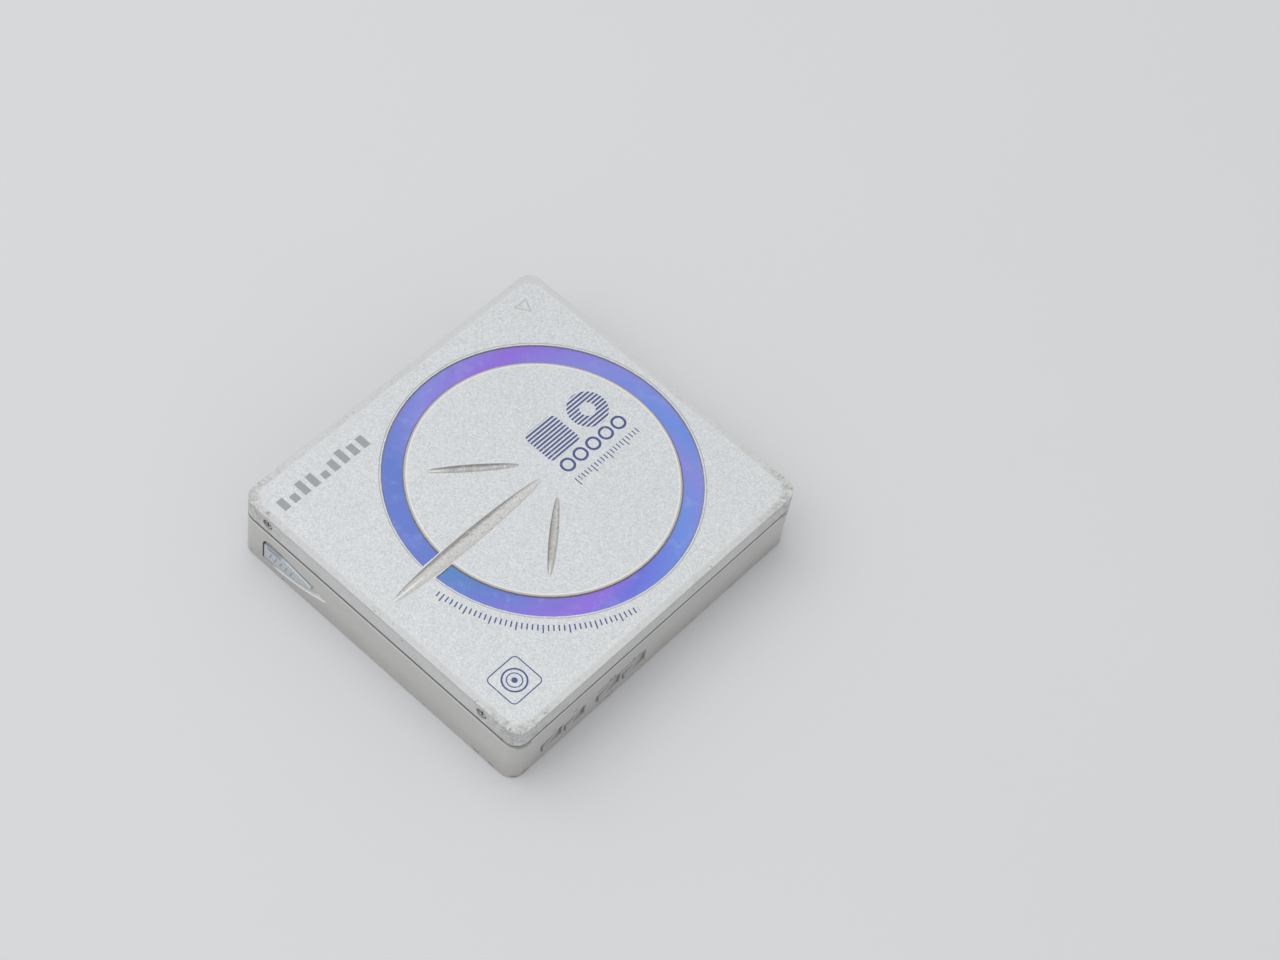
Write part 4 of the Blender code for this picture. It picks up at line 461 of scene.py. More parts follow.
def dial_ticks(paint):
    """Arc of ticks beside the ring, every fifth one longer."""
    arc_start, arc_end, arc_soft = -173.5, -104.5, 0.1
    start, pitch, long_pitch = -180.0, 1.7, 8.5
    line_half, line_soft = 0.24, 0.05
    near, far, long_far = 0.0330, 0.0343, 0.0348
    radius = length(paint.x - RING_CENTRE_X, paint.y)
    angle = paint.y.math("ARCTAN2", paint.x - RING_CENTRE_X) * (180 / math.pi)
    on_arc = angle.above(arc_start, arc_soft) * angle.below(arc_end, arc_soft)
    tick = repeated(angle, start, pitch, pitch / 2).below(line_half, line_soft)
    long_tick = repeated(angle, start, long_pitch, pitch / 2).below(line_half, line_soft)
    outer = (radius - far).below(0.0).most(long_tick * (radius - long_far).below(0.0))
    return tick * on_arc * (radius - near).above(0.0) * outer


def badge(paint):
    """Round-cornered frame with two rings and a dot in it."""
    centre, half, corner = (-0.03095, -0.0271), (0.0039, 0.0037), 0.0010
    thin, thick = 0.00012, 0.00018
    outer, inner, dot = 0.0024, 0.0015, 0.0006
    outline = abs(rounded_box(paint.x, paint.y, centre, half, corner)).below(thin)
    wheel = disc(paint.x, paint.y, centre, 0.0)
    rings = abs(wheel - outer).below(thick).most(abs(wheel - inner).below(thin))
    return outline.most(rings.most(wheel.below(dot)))


def corner_arrow(paint):
    """Outline of a small triangle by the far corner."""
    end, line = 0.03168, 0.00014
    # A point on each slanted side, and the direction that it faces inwards
    sides = (((0.03029, 0.03174), (0.825, 0.565)), ((0.03351, 0.03163), (-0.894, 0.448)))
    shape = paint.y - end
    for point, face in sides:
        inwards = (paint.x - point[0]) * face[0] + (paint.y - point[1]) * face[1]
        shape = shape.most(-inwards)
    return abs(shape).below(line)


# Generic marks in the places of the lid's printing, and their inks
LID_MARKS = (
    (level_bars, GREY_PRINT),
    (striped_shapes, NAVY),
    (circle_row, NAVY),
    (fine_scale, NAVY),
    (dial_ticks, NAVY),
    (badge, NAVY),
    (corner_arrow, PALE_GREY),
)


def draw_marks(paint, colour):
    """The lid's marks, thinned by wear."""
    top = paint.z.above(TOP_FACE - 0.0002, 0.0001)
    worn = paint.noise(0.0007, 2.0, 0.6, 11.0).step(0.30, 0.40) * 0.25 + 0.70
    layers = [(mark(paint) * top * worn, ink) for mark, ink in LID_MARKS]
    return paint.cover(colour, *layers)


def draw_ring_lines(paint, colour):
    """Lines round the ring, with painted shade and a painted highlight inside it, and painted
    shade on the walls and floor of its recess.
    """
    radius = length(paint.x - RING_CENTRE_X, paint.y)
    on_ring = abs(paint.y).above(RING_GAP_HALF).most(paint.x.above(0.0))
    for line_radius, half, share, tone in RING_LINES:
        line = abs(radius - line_radius).below(half) * on_ring
        colour = paint.mix(line * share, colour, tone)
    # Painted shade on the walls and floor of the ring's recess
    recess = paint.z.below(TOP_FACE - RECESS_DEPTH) * abs(radius - RING_MIDDLE).below(RECESS_HALF)
    return paint.mix(recess * on_ring, colour, srgb(200, 196, 190))


def groove_shade_glints_and_dirt(paint, colour):
    """Grooves: floors and upper edges toned as painted shade, painted glints, dirt, a painted
    highlight at the start and a darker outline.
    """
    specks = paint.noise(0.00045, 2.0, 0.7, 17.0).step(0.56, 0.66)
    glint_specks = paint.noise(0.0006, 3.0, 0.7, 63.0).step(0.50, 0.66)
    for (start, end, width), (tone, line) in zip(GROOVES, GROOVE_SHADE_TONES):
        distance, across, along = groove_distance(paint, start, end, width)
        run = along.above(0.01, 0.005) * along.below(0.99, 0.005)
        inside = distance.below(-0.00005) * run
        upper = inside * (-across).above(width * 0.30, width * 0.08)
        tip_highlight = along.step(0.10, 0.28, 1.0, 0.0) * abs(across + 0.0001).below(0.00018, 0.00012)
        # Painted shade on the floor and upper edge, painted glints, dirt specks, a painted
        # highlight at the start and a darker outline
        colour = paint.cover(
            colour,
            (inside * 0.85, tone),
            (upper * 0.80, line),
            (inside * glint_specks * 0.45, srgb(232, 233, 232)),
            (inside * specks * 0.45, DIRT_AND_SHADOW),
            (tip_highlight * run * 0.7, srgb(244, 244, 243)),
            (abs(distance).below(0.00008) * run * 0.35, GROOVE_OUTLINE),
        )
    return colour


def wear_rim(paint, colour, rim, wear):
    """Smudges, chips, bare flecks and grime on the lid's edge, most at the handled corners."""
    x, y, z = paint.x, paint.y, paint.z
    handled = (x + y).step(0.030, 0.055, 1.0, 0.1)
    corner = (abs(x) + abs(y)).step(0.061, 0.073) * handled
    smudge = paint.noise(0.0016, 4.0, 0.7, 67.0).step(0.46, 0.62) * rim * corner
    plan = plan_distance(paint, 0.0, CORNER_RADIUS)
    edge = plan.step(-0.0018, -0.0006) * z.above(SEAM + 0.0028, 0.0006)
    limit = corner * -0.07 + 0.69 - wear * 0.05
    chips = (paint.noise(0.0009, 4.0, 0.7, 23.0) - limit).above(0.0, 0.012) * edge
    mottle = paint.noise(0.0008, 4.0, 0.7, 37.0).step(0.46, 0.66) * rim * handled
    rubbed = paint.noise(0.0005, 3.0, 0.7, 59.0).step(0.52, 0.64) * rim
    grime = paint.noise(0.0042, 3.0, 0.6, 31.0).step(0.52, 0.74) * rim * handled
    colour = paint.cover(
        colour,
        (smudge * 0.36, srgb(134, 131, 125)),
        (chips * 0.55, srgb(112, 106, 98)),
        (mottle * (corner * 0.34 + 0.16), srgb(128, 124, 116)),
        (rubbed * (corner * 0.12 + 0.26), srgb(230, 232, 232)),
        (grime * 0.22, srgb(160, 152, 142)),
    )
    return colour, chips


def lid_paint(settings):
    """Silver metallic paint with a fine sparkle, worn and chipped at the rim, with painted shade
    and painted highlights on the rim, at the seam and round the ring.
    """
    paint = Paint("lid_silver_paint")
    bright = tuple(settings.lid_colour)
    fine = paint.noise(settings.speckle_size, 1.0, 0.6)
    flakes = paint.noise(settings.speckle_size * 2.6, 2.0, 0.6, 3.0)
    sparkle = fine.step(0.30, 0.72) * 0.65 + flakes.step(0.3, 0.7) * 0.35
    cloud = paint.noise(0.009, 2.0, 0.5, 7.0).step(0.42, 0.66)
    flat = plan_distance(paint, RIM_WIDTH, RIM_RADIUS)
    ragged = (paint.noise(0.0012, 3.0, 0.6, 29.0) - 0.5) * 0.0006
    rim = (flat + ragged).step(-0.0006, 0.0005)
    crest = paint.z.above(TOP_FACE - 0.0007, 0.0003) * rim
    colour = paint.cover(
        paint.mix(sparkle, shade(bright, 0.66), bright),
        (cloud * 0.10, srgb(198, 204, 208)),
        # Painted highlight: a pale line where the flat top meets the rounded rim
        (abs(flat + 0.0002).below(0.0002, 0.0001) * 0.18, srgb(236, 238, 240)),
        # Worn paint round the rim, darker also as painted shade on the rounded edge
        (rim * 0.85, tuple(settings.rim_wear_and_shade_colour)),
        # Painted shade: the top of the rounded edge made darker
        (crest * 0.35, srgb(186, 186, 184)),
    )
    colour = draw_ring_lines(paint, colour)
    # Painted shade: a dark line along the lid's lower edge at the seam
    foot = (paint.z - SEAM).below(0.00022, 0.00008)
    colour = paint.mix(foot * 0.80, colour, SEAM_SHADE)
    colour = draw_marks(paint, colour)
    colour = groove_shade_glints_and_dirt(paint, colour)
    colour, chips = wear_rim(paint, colour, rim, settings.wear)
    scratch_place = paint.stretched((260.0, 2600.0, 260.0))
    scratches = paint.noise(1.0, 2.0, 0.5, 5.0, scratch_place).step(0.70, 0.76)
    height = fine * 0.5 + flakes * 0.5 - chips * 1.5
    return paint.surface({
        "Base Color": paint.mix(scratches * 0.10, colour, srgb(168, 170, 172)),
        "Metallic": 0.18,
        "Roughness": chips * 0.25 + flakes * 0.10 + settings.lid_roughness,
        "Specular IOR Level": 0.5,
        "Normal": paint.bump(height, 0.35, 0.00003),
    })


def ring_foil():
    """Blue to violet foil whose colour drifts round the ring, a change that is its iridescent
    reflection painted in as fixed colour, with painted shade along its inner edge.
    """
    paint = Paint("ring_blue_violet_foil")
    radius = length(paint.x - RING_CENTRE_X, paint.y)
    turn = paint.y.math("ARCTAN2", paint.x - RING_CENTRE_X) / (2 * math.pi) + 0.5
    sheen_drift = (paint.noise(0.006, 3.0, 0.6, 2.0) - 0.5) * 0.05
    sheen_drift = sheen_drift + (radius - RING_MIDDLE) * RING_SKEW
    stops = [((angle + 180) / 360, tone) for angle, tone in RING_FOIL_AND_SHEEN_COLOURS]
    cloud = paint.noise(0.0030, 4.0, 0.7, 4.0).step(0.50, 0.75)
    deep = paint.noise(0.0040, 3.0, 0.6, 15.0).step(0.55, 0.75)
    outer = radius.step(RING_OUTER - 0.0012, RING_OUTER)
    inner_edge_shade = (radius - RING_INNER).below(0.00012)
    grain = paint.noise(0.00025, 1.0, 0.5, 6.0)
    colour = paint.cover(
        paint.ramp(turn + sheen_drift, stops),
        (cloud * 0.30, srgb(160, 178, 224)),
        (deep * 0.20, srgb(80, 90, 190)),
        (outer * 0.15, srgb(130, 126, 200)),
        # Painted shade along the foil's inner edge
        (inner_edge_shade * 0.6, srgb(112, 84, 96)),
    )
    return paint.surface({
        "Base Color": colour,
        "Metallic": 0.2,
        "Roughness": grain * 0.08 + 0.28,
        "Coat Weight": 0.15,
        "Coat Roughness": 0.12,
        "Normal": paint.bump(grain, 0.12, 0.00002),
    })


def key_signs_and_edge_shadows(paint):
    """Small printed signs over the keys, and painted shadow along the upper edges of their
    openings.
    """
    x, up = paint.x, abs(paint.z - SIGN_HEIGHT)
    face = (paint.y + HALF_DEPTH).below(0.0002, 0.00005)
    minus = abs(x - MINUS_X).below(SIGN_HALF) * up.below(SIGN_LINE)
    from_plus = abs(x - PLUS_X)
    plus = from_plus.below(SIGN_HALF) * up.below(SIGN_LINE)
    marks = minus.most(plus).most(from_plus.below(SIGN_LINE) * up.below(SIGN_HALF))
    for middle, side in ARROW_SIGNS:
        run = (x - middle) * side
        arrow = (up + run * ARROW_SLOPE - ARROW_HALF).below(0.0) * run.above(ARROW_BACK)
        marks = marks.most(arrow)
    for middle in PAUSE_BARS:
        bar = abs(x - middle).below(PAUSE_BAR_HALF) * up.below(PAUSE_BAR_HIGH)
        marks = marks.most(bar)
    # Painted shadow along the upper edge of each key opening
    for height, line_half, middle, half, share in KEY_EDGE_SHADOWS:
        line = abs(paint.z - height).below(line_half, 0.00006)
        marks = marks.most(line * abs(x - middle).below(half, 0.0001) * share)
    return marks * face


def dish_edges(paint, colour):
    """Painted highlight on the lip under the thumb dish, painted light on its floor, and painted
    shadow along its upper and back edges.
    """
    x, y, z = paint.x, paint.y, paint.z
    side = x.below(-HALF_WIDTH + 0.0008)
    share = ((LIP_BEND_Y - y) / (LIP_BEND_Y - LIP_TIP_Y)).most(0.0).least(1.0)
    lip = share ** LIP_POWER * LIP_RISE + LIP_LOW
    run = y.above(LIP_TIP_Y, 0.0002) * y.step(LIP_BEND_Y - 0.0010, LIP_BEND_Y + 0.0010, 1.0, 0.0)
    line = abs(z - lip + 0.00018).below(0.00022, 0.00008) * run * side
    floor = x.above(-HALF_WIDTH + 0.0001) * side * z.below(DISH_FLOOR_HIGH)
    floor = floor * y.above(LIP_TIP_Y - 0.0004) * y.below(DISH_FLOOR_END)
    top = abs((z - TOP_EDGE_LOW) - (y - TOP_EDGE_START) * TOP_EDGE_SLOPE).below(0.00024, 0.00008)
    top = top * y.above(TOP_EDGE_START) * y.below(TOP_EDGE_END)
    back = abs(y - DISH_BACK_Y).below(0.00012, 0.00006)
    back = back * z.above(LIP_LOW) * z.below(DISH_BACK_HIGH)
    return paint.cover(
        colour,
        # Painted highlight on the lip, painted light on the floor, painted shadow on the upper and
        # back edges
        (line, srgb(250, 250, 250)),
        (floor * 0.15, srgb(240, 240, 240)),
        (top.most(back) * side * 0.75, DIRT_AND_SHADOW),
    )


def base_paint(settings):
    """Smooth cool grey paint with a painted highlight and a painted shade line at the seam,
    painted shade towards the floor, rubbed along the bottom edge.
    """
    paint = Paint("base_grey_paint")
    x, y, z = paint.x, paint.y, paint.z
    tone = tuple(settings.base_colour)
    fine = paint.noise(settings.speckle_size * 0.9, 1.0, 0.6, 41.0)
    cloud = paint.noise(0.008, 2.0, 0.5, 43.0)
    plan = plan_distance(paint, 0.0, CORNER_RADIUS)
    outside = plan.above(-0.0004, 0.0001)
    # Painted highlight on the base's upper edge and painted shade in the seam above it
    seam_highlight_line = abs(z - SEAM + 0.00095).below(0.00030, 0.00012) * outside
    seam_shade_line = z.above(SEAM - 0.00055, 0.00010)
    # Painted shade: the base darker towards the floor
    foot = z.step(0.0004, 0.0075, 1.0, 0.0)
    colour = paint.cover(
        paint.mix(fine.step(0.3, 0.7), shade(tone, 0.93), tone),
        (cloud.step(0.45, 0.7) * 0.14, srgb(176, 176, 172)),
        (seam_highlight_line * 0.60, srgb(226, 226, 222)),
        (seam_shade_line * 0.75, SEAM_SHADE),
        (foot * 0.32, srgb(158, 155, 152)),
    )
    colour = dish_edges(paint, colour)
    edge = z.step(0.0002, 0.0020, 1.0, 0.0) * plan.step(-0.0024, -0.0002)
    corner = (abs(x) + abs(y)).step(0.064, 0.073)
    rubs = (paint.noise(0.0022, 4.0, 0.65, 47.0) + corner * 0.07 - 0.60).above(0.0, 0.02) * edge
    dents = paint.noise(0.0011, 3.0, 0.6, 53.0).step(0.70, 0.76) * outside
    colour = paint.cover(
        colour,
        # Printed signs over the keys and painted shadow over their openings, in one dark ink
        (key_signs_and_edge_shadows(paint) * 0.75, srgb(92, 96, 112)),
        (rubs * 0.6, srgb(132, 126, 118)),
        (dents * 0.30, srgb(132, 130, 126)),
    )
    return paint.surface({
        "Base Color": colour,
        "Metallic": 0.15,
        "Roughness": cloud * 0.10 + rubs * 0.2 + 0.34,
        "Normal": paint.bump(fine - rubs, 0.20, 0.00002),
    })


def key_paint():
    """Silver painted plastic keys with patches of grime."""
    paint = Paint("key_silver_paint")
    fine = paint.noise(0.00022, 1.0, 0.6, 61.0)
    grime = paint.noise(0.0009, 3.0, 0.6, 67.0).step(0.55, 0.72)
    colour = paint.mix(fine.step(0.3, 0.7), srgb(168, 166, 169), srgb(188, 186, 188))
    return paint.surface({
        "Base Color": paint.mix(grime * 0.35, colour, srgb(128, 124, 118)),
        "Metallic": 0.2,
        "Roughness": grime * 0.2 + 0.34,
        "Normal": paint.bump(fine, 0.2, 0.00002),
    })


def release_gloss():
    """Bluish silver thumb release with slanted grip lines, a painted highlight on its crest and a
    band of painted shade.
    """
    paint = Paint("release_bluish_silver")
    y, z = paint.y, paint.z
    grip_low, grip_high, grip_middle, slant = 0.0034, 0.0053, 0.0044, 0.35
    grip_start, grip_end = 0.0224, 0.0296
    line_start, pitch, line_half, soft = -0.0004, 0.0014, 0.00017, 0.0001
    lean = y + (z - grip_middle) * slant
    zone = lean.above(grip_start, soft) * lean.below(grip_end, soft)
    zone = zone * z.above(grip_low, soft) * z.below(grip_high, soft)
    grip = repeated(lean, line_start, pitch, pitch / 2).below(line_half, 0.00006) * zone
    # Painted highlight along the upper edge
    crest = (z - (y - 0.0175) * 0.17).above(0.0056, 0.0002)
    # Painted shade in the gap above the release
    band = rounded_box(y, z, (0.0274, 0.0064), (0.0019, 0.0003), 0.0003).below(0.0, soft)
    fine = paint.noise(0.0004, 2.0, 0.6, 71.0)
    colour = paint.cover(
        paint.mix(fine, srgb(188, 194, 200), srgb(202, 208, 213)),
        (grip * 0.6, srgb(112, 114, 122)),
        (crest * 0.7, srgb(240, 245, 250)),
        (band * 0.8, srgb(118, 122, 130)),
    )
    return paint.surface({
        "Base Color": colour,
        "Metallic": 0.25,
        "Roughness": fine * 0.1 + 0.22,
        "Coat Weight": 0.2,
        "Normal": paint.bump(-grip, 0.5, 0.00008),
    })


def drawn_metal(name, tone, dull, rough):
    """Bright metal with a fine grain along X and a few dull spots."""
    paint = Paint(name)
    streaks = paint.noise(1.0, 3.0, 0.6, 5.0, paint.stretched(METAL_GRAIN))
    spots = paint.noise(0.003, 3.0, 0.6, 9.0).step(0.55, 0.75)
    colour = paint.mix(streaks.step(0.3, 0.7), dull, tone)
    return paint.surface({
        "Base Color": paint.mix(spots * 0.25, colour, dull),
        "Metallic": 1.0,
        "Roughness": streaks * 0.15 + spots * 0.12 + rough,
        "Normal": paint.bump(streaks, 0.15, 0.00002),
    })


def moulded(name, tone, rough, lump):
    """Moulded plastic or rubber with a fine spark-eroded texture."""
    paint = Paint(name)
    texture = paint.noise(lump, 2.0, 0.6, 13.0)
    dust = paint.noise(0.002, 4.0, 0.7, 19.0).step(0.60, 0.80)
    lighter = tuple(min(1.0, value * 1.5 + 0.02) for value in tone[:3]) + (1.0,)
    colour = paint.mix(texture.step(0.2, 0.8) * 0.35, tone, lighter)
    return paint.surface({
        "Base Color": paint.mix(dust * 0.12, colour, srgb(170, 168, 160)),
        "Roughness": texture * 0.12 + rough,
        "Normal": paint.bump(texture, 0.4, 0.00003),
    })


def circuit_board():
    """Green solder mask with paler tracks and tinned pads."""
    paint = Paint("board_green_mask")
    x, y, z = paint.x, paint.y, paint.z
    bend = paint.noise(0.010, 0.0, 0.5, 3.0) * 0.010
    across = abs(((x + bend) % 0.0011) - 0.00055).below(0.00012)
    along = abs(((y + z + bend) % 0.0013) - 0.00065).below(0.00012)
    choice = paint.noise(0.005, 0.0, 0.5, 8.0).above(0.5, 0.01)
    track = paint.mix(choice, across, along)
    pad_pitch, pad_radius = 0.0024, 0.00016
    pad = paint.cells(pad_pitch).below(pad_radius / pad_pitch, 0.02)
    colour = paint.cover(
        paint.mix(paint.noise(0.0006, 2.0), srgb(16, 74, 44), srgb(22, 88, 52)),
        (track, srgb(44, 124, 78)),
        (pad, srgb(204, 202, 190)),
    )
    return paint.surface({
        "Base Color": colour,
        "Metallic": pad,
        "Roughness": pad * -0.12 + 0.42,
        "Normal": paint.bump(pad, 0.3, 0.00003),
    })


def chip_package():
    """Black moulded package with tinned leads low on its sides."""
    paint = Paint("chip_black_package")
    grain = paint.noise(0.00018, 2.0, 0.7, 7.0)
    colour = paint.mix(grain, srgb(26, 27, 29), srgb(48, 49, 52))
    leads = abs(((paint.x + paint.y) % 0.0008) - 0.0004).below(0.00014) * paint.z.below(0.0018)
    return paint.surface({
        "Base Color": paint.mix(leads, colour, srgb(190, 190, 184)),
        "Metallic": leads,
        "Roughness": grain * 0.15 + 0.45,
        "Normal": paint.bump(grain, 0.4, 0.00003),
    })


def battery_wrap():
    """Plain shrink wrap with a pale band and bare metal ends."""
    paint = Paint("battery_green_wrap")
    low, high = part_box("battery")
    crinkle = paint.noise(0.0014, 3.0, 0.6, 21.0)
    band = abs(paint.x - (low[0] + high[0]) / 2 - 0.018).below(0.0045)
    ends = paint.x.below(low[0] + 0.0009).most(paint.x.above(high[0] - 0.0004))
    colour = paint.cover(
        paint.mix(crinkle, srgb(58, 98, 88), srgb(72, 116, 104)),
        (band, srgb(198, 204, 198)),
        (ends, srgb(196, 194, 186)),
    )
    return paint.surface({
        "Base Color": colour,
        "Metallic": ends,
        "Roughness": crinkle * 0.15 + 0.30,
        "Normal": paint.bump(crinkle, 0.3, 0.00006),
    })


def lens_glass():
    """Coated lens: a blue centre in a black holder ring."""
    paint = Paint("lens_blue_coating")
    low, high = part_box("pickup_lens")
    middle = ((low[0] + high[0]) / 2, (low[1] + high[1]) / 2)
    radius = disc(paint.x, paint.y, middle, 0.0)
    glass = radius.below(0.0013)
    swirl = paint.noise(0.0016, 2.0, 0.5, 4.0)
    blue = paint.mix(swirl, srgb(44, 62, 120), srgb(96, 118, 186))
    return paint.surface({
        "Base Color": paint.mix(glass, srgb(30, 30, 33), blue),
        "Roughness": glass * -0.42 + 0.5,
        "Coat Weight": glass,
        "Coat Roughness": 0.03,
        "Normal": paint.bump(radius, 0.25, 0.001),
    })


def worn_screw():
    """Plated screw with dull patches. The two in the lid's left wall get a dark rim and cross,
    painted shade round the head and in its slot.
    """
    paint = Paint("screw_worn_plating")
    wear = paint.noise(0.0005, 2.0, 0.6, 27.0).step(0.42, 0.62)
    colour = paint.mix(wear, srgb(168, 165, 158), srgb(232, 230, 224))
    wall = abs(paint.x).above(HALF_WIDTH - 0.002)
    for name in ("lid_screw_left_front", "lid_screw_left_rear"):
        low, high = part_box(name)
        across = paint.y - (low[1] + high[1]) / 2
        up = paint.z - (low[2] + high[2]) / 2
        radius = length(across, up)
        near = radius.below((high[2] - low[2]) / 2 + 0.0002) * wall
        slot = abs(across).least(abs(up)).below(0.00018, 0.00005) * radius.below(0.00075)
        # Painted shade round the head and in the cross slot
        colour = paint.cover(
            colour,
            (near * radius.above(0.00085, 0.00006) * 0.75, srgb(92, 90, 86)),
            (near * slot * 0.85, srgb(70, 68, 66)),
        )
    return paint.surface({
        "Base Color": colour,
        "Metallic": 0.35,
        "Roughness": wear * -0.12 + 0.46,
        "Normal": paint.bump(wear, 0.3, 0.00003),
    })


def nodes_in_slot(slot):
    """Frame objects whose record names the material slot."""
    found = []
    for part in frame["record"]["subparts"]:
        if part["material_slot"] == slot:
            found.append(frame["nodes"][part["node"]])
    if not found:
        raise RuntimeError("no node uses " + slot)
    return found


def dress(material, slot):
    for obj in nodes_in_slot(slot):
        obj.data.materials.clear()
        obj.data.materials.append(material)


def colour_setting(name, description, default):
    """A colour that a user may change."""
    return FloatVectorProperty(
        name=name,
        description=description,
        default=default,
        size=4,
        subtype="COLOR",
        min=0.0,
        max=1.0,
    )


class PaintSettings(bpy.types.PropertyGroup):
    """Colours and sizes of the player's paint."""

    lid_colour: colour_setting("Lid colour", "Silver of the lid's top", srgb(225, 229, 231))
    # Worn paint round the lid's edge, darker also as painted shade on its rounding
    rim_wear_and_shade_colour: colour_setting(
        "Rim colour", "Worn paint round the lid's edge", srgb(208, 210, 210)
    )
    base_colour: colour_setting("Base colour", "Grey of the base", srgb(201, 200, 198))
    speckle_size: FloatProperty(
        name="Speckle size",
        description="Width of a fleck in the silver paint",
        default=0.00019,
        unit="LENGTH",
        min=0.00005,
        max=0.002,
    )
    lid_roughness: FloatProperty(
        name="Lid roughness",
        description="How dull the lid's paint is",
        default=0.36,
        subtype="FACTOR",
        min=0.0,
        max=1.0,
    )
    wear: FloatProperty(
        name="Wear",
        description="How much of the rim's paint is chipped",
        default=0.5,
        subtype="FACTOR",
        min=0.0,
        max=1.0,
    )


class StudioSettings(bpy.types.PropertyGroup):
    """Floor and light of the studio."""

    floor_colour: colour_setting("Floor colour", "Colour of the plain floor", srgb(213, 214, 216))
    sky_strength: FloatProperty(
        name="Sky strength",
        description="Light from all round",
        default=0.62,
        min=0.0,
        max=4.0,
    )
    lamp_power: FloatProperty(
        name="Lamp power",
        description="Power of the large lamp overhead",
        default=9.6,
        unit="POWER",
        min=0.0,
        max=200.0,
    )
    lamp_size: FloatProperty(
        name="Lamp size",
        description="Side of the square lamp",
        default=1.5,
        unit="LENGTH",
        min=0.05,
        max=5.0,
    )


class PaintLid(bpy.types.Operator):
    """Paint the lid silver, with its marks and its worn rim"""

    bl_idname = "disc_player.paint_lid"
    bl_label = "Paint Lid"

    def execute(self, context):
        dress(lid_paint(context.scene.disc_player_paint), "lid_paint")
        return {"FINISHED"}


class FoilRing(bpy.types.Operator):
    """Cover the ring with blue and violet foil"""

    bl_idname = "disc_player.foil_ring"
    bl_label = "Foil Ring"

    def execute(self, context):
        dress(ring_foil(), "ring_foil")
        return {"FINISHED"}


class PaintBase(bpy.types.Operator):
    """Paint the base, its cover and the battery door grey"""

    bl_idname = "disc_player.paint_base"
    bl_label = "Paint Base"

    def execute(self, context):
        dress(base_paint(context.scene.disc_player_paint), "base_paint")
        return {"FINISHED"}


class PaintControls(bpy.types.Operator):
    """Finish the keys, the hold switch and the thumb release"""

    bl_idname = "disc_player.paint_controls"
    bl_label = "Paint Controls"

    def execute(self, context):
        dress(key_paint(), "key_paint")
        dress(release_gloss(), "slide_gloss")
        return {"FINISHED"}


class FinishMetal(bpy.types.Operator):
    """Finish the sheet metal, rods, motors, screws and gears"""

    bl_idname = "disc_player.finish_metal"
    bl_label = "Finish Metal"

    def execute(self, context):
        for name, tone, dull, rough, slot in METALS:
            dress(drawn_metal(name, tone, dull, rough), slot)
        dress(worn_screw(), "dark_screw")
        return {"FINISHED"}


class FinishPlastic(bpy.types.Operator):
    """Finish the moulded plastic, the rubber and the lens"""

    bl_idname = "disc_player.finish_plastic"
    bl_label = "Finish Plastic"

    def execute(self, context):
        for name, tone, rough, lump, slot in MOULDINGS:
            dress(moulded(name, tone, rough, lump), slot)
        dress(lens_glass(), "lens_glass")
        return {"FINISHED"}


class FinishElectronics(bpy.types.Operator):
    """Finish the boards, the chips and the battery"""

    bl_idname = "disc_player.finish_electronics"
    bl_label = "Finish Electronics"

    def execute(self, context):
        dress(circuit_board(), "board")
        dress(chip_package(), "chip_black")
        dress(battery_wrap(), "battery_wrap")
        return {"FINISHED"}


class BuildStudio(bpy.types.Operator):
    """Set out the pale floor, the soft light and the camera"""

    bl_idname = "disc_player.build_studio"
    bl_label = "Build Studio"

    def execute(self, context):
        settings = context.scene.disc_player_studio
        lay_floor(tuple(settings.floor_colour))
        light_studio(settings)
        place_camera(context.scene)
        context.scene.view_settings.view_transform = "Standard"
        return {"FINISHED"}


def lay_floor(colour):
    """Wide pale floor just under the player."""
    height = BASE_LOW[2] - FLOOR_GAP
    signs = ((-1, -1), (1, -1), (1, 1), (-1, 1))
    corners = [(x * FLOOR_HALF, y * FLOOR_HALF, height) for x, y in signs]
    mesh = bpy.data.meshes.new("studio_floor")
    mesh.from_pydata(corners, [], [(0, 1, 2, 3)])
    floor = bpy.data.objects.new("studio_floor", mesh)
    bpy.context.scene.collection.objects.link(floor)
    paint = Paint("studio_floor_paper")
    mottle = paint.noise(0.05, 3.0, 0.5, 1.0)
    mesh.materials.append(paint.surface({
        "Base Color": paint.mix(mottle, shade(colour, 0.985), colour),
        "Roughness": 0.9,
        "Specular IOR Level": 0.1,
    }))


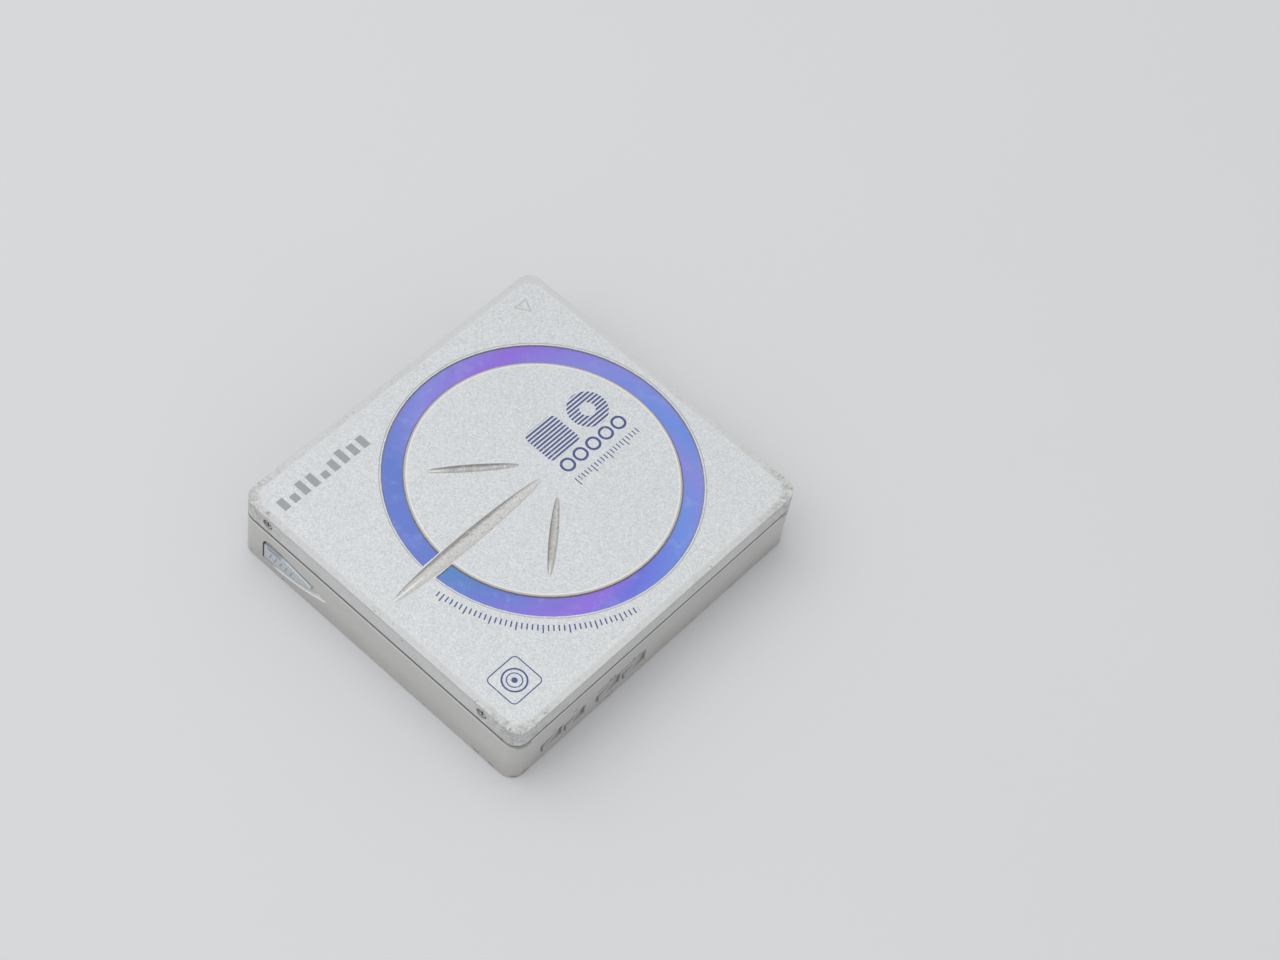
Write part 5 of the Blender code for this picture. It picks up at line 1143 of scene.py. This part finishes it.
def light_studio(settings):
    """White sky, and a large lamp overhead that faces the player."""
    world = bpy.data.worlds.new("studio_sky")
    world.use_nodes = True
    sky = world.node_tree.nodes["Background"]
    sky.inputs["Color"].default_value = (1.0, 1.0, 1.0, 1.0)
    sky.inputs["Strength"].default_value = settings.sky_strength
    bpy.context.scene.world = world
    lamp = bpy.data.lights.new("overhead_softbox", "AREA")
    lamp.shape = "SQUARE"
    lamp.size = settings.lamp_size
    lamp.energy = settings.lamp_power
    holder = bpy.data.objects.new("overhead_softbox", lamp)
    holder.location = LAMP_PLACE
    aim = holder.location.copy()
    aim.negate()
    holder.rotation_euler = aim.to_track_quat("-Z", "Y").to_euler()
    bpy.context.scene.collection.objects.link(holder)


def place_camera(scene):
    data = bpy.data.cameras.new("photo_camera")
    data.lens = CAMERA_LENS
    data.sensor_width = SENSOR_WIDTH
    camera = bpy.data.objects.new("photo_camera", data)
    camera.location = CAMERA_PLACE
    camera.rotation_euler = [math.radians(angle) for angle in CAMERA_TURN]
    scene.collection.objects.link(camera)
    scene.camera = camera


STEPS = (
    PaintLid,
    FoilRing,
    PaintBase,
    PaintControls,
    FinishMetal,
    FinishPlastic,
    FinishElectronics,
    BuildStudio,
)


class DiscPlayerPanel(bpy.types.Panel):
    """Steps and settings of the portable disc player"""

    bl_idname = "VIEW3D_PT_disc_player"
    bl_label = "Disc Player"
    bl_space_type = "VIEW_3D"
    bl_region_type = "UI"
    bl_category = "Disc Player"

    def draw(self, context):
        for settings in (context.scene.disc_player_paint, context.scene.disc_player_studio):
            for name in settings.__annotations__:
                self.layout.prop(settings, name)
        for step in STEPS:
            self.layout.operator(step.bl_idname)


CLASSES = (PaintSettings, StudioSettings, *STEPS, DiscPlayerPanel)


def register():
    for part in CLASSES:
        bpy.utils.register_class(part)
    bpy.types.Scene.disc_player_paint = PointerProperty(type=PaintSettings)
    bpy.types.Scene.disc_player_studio = PointerProperty(type=StudioSettings)


def unregister():
    del bpy.types.Scene.disc_player_studio
    del bpy.types.Scene.disc_player_paint
    for part in reversed(CLASSES):
        bpy.utils.unregister_class(part)


def main():
    register()
    for step in STEPS:
        group, name = step.bl_idname.split(".")
        getattr(getattr(bpy.ops, group), name)()


if __name__ == "__main__":
    main()
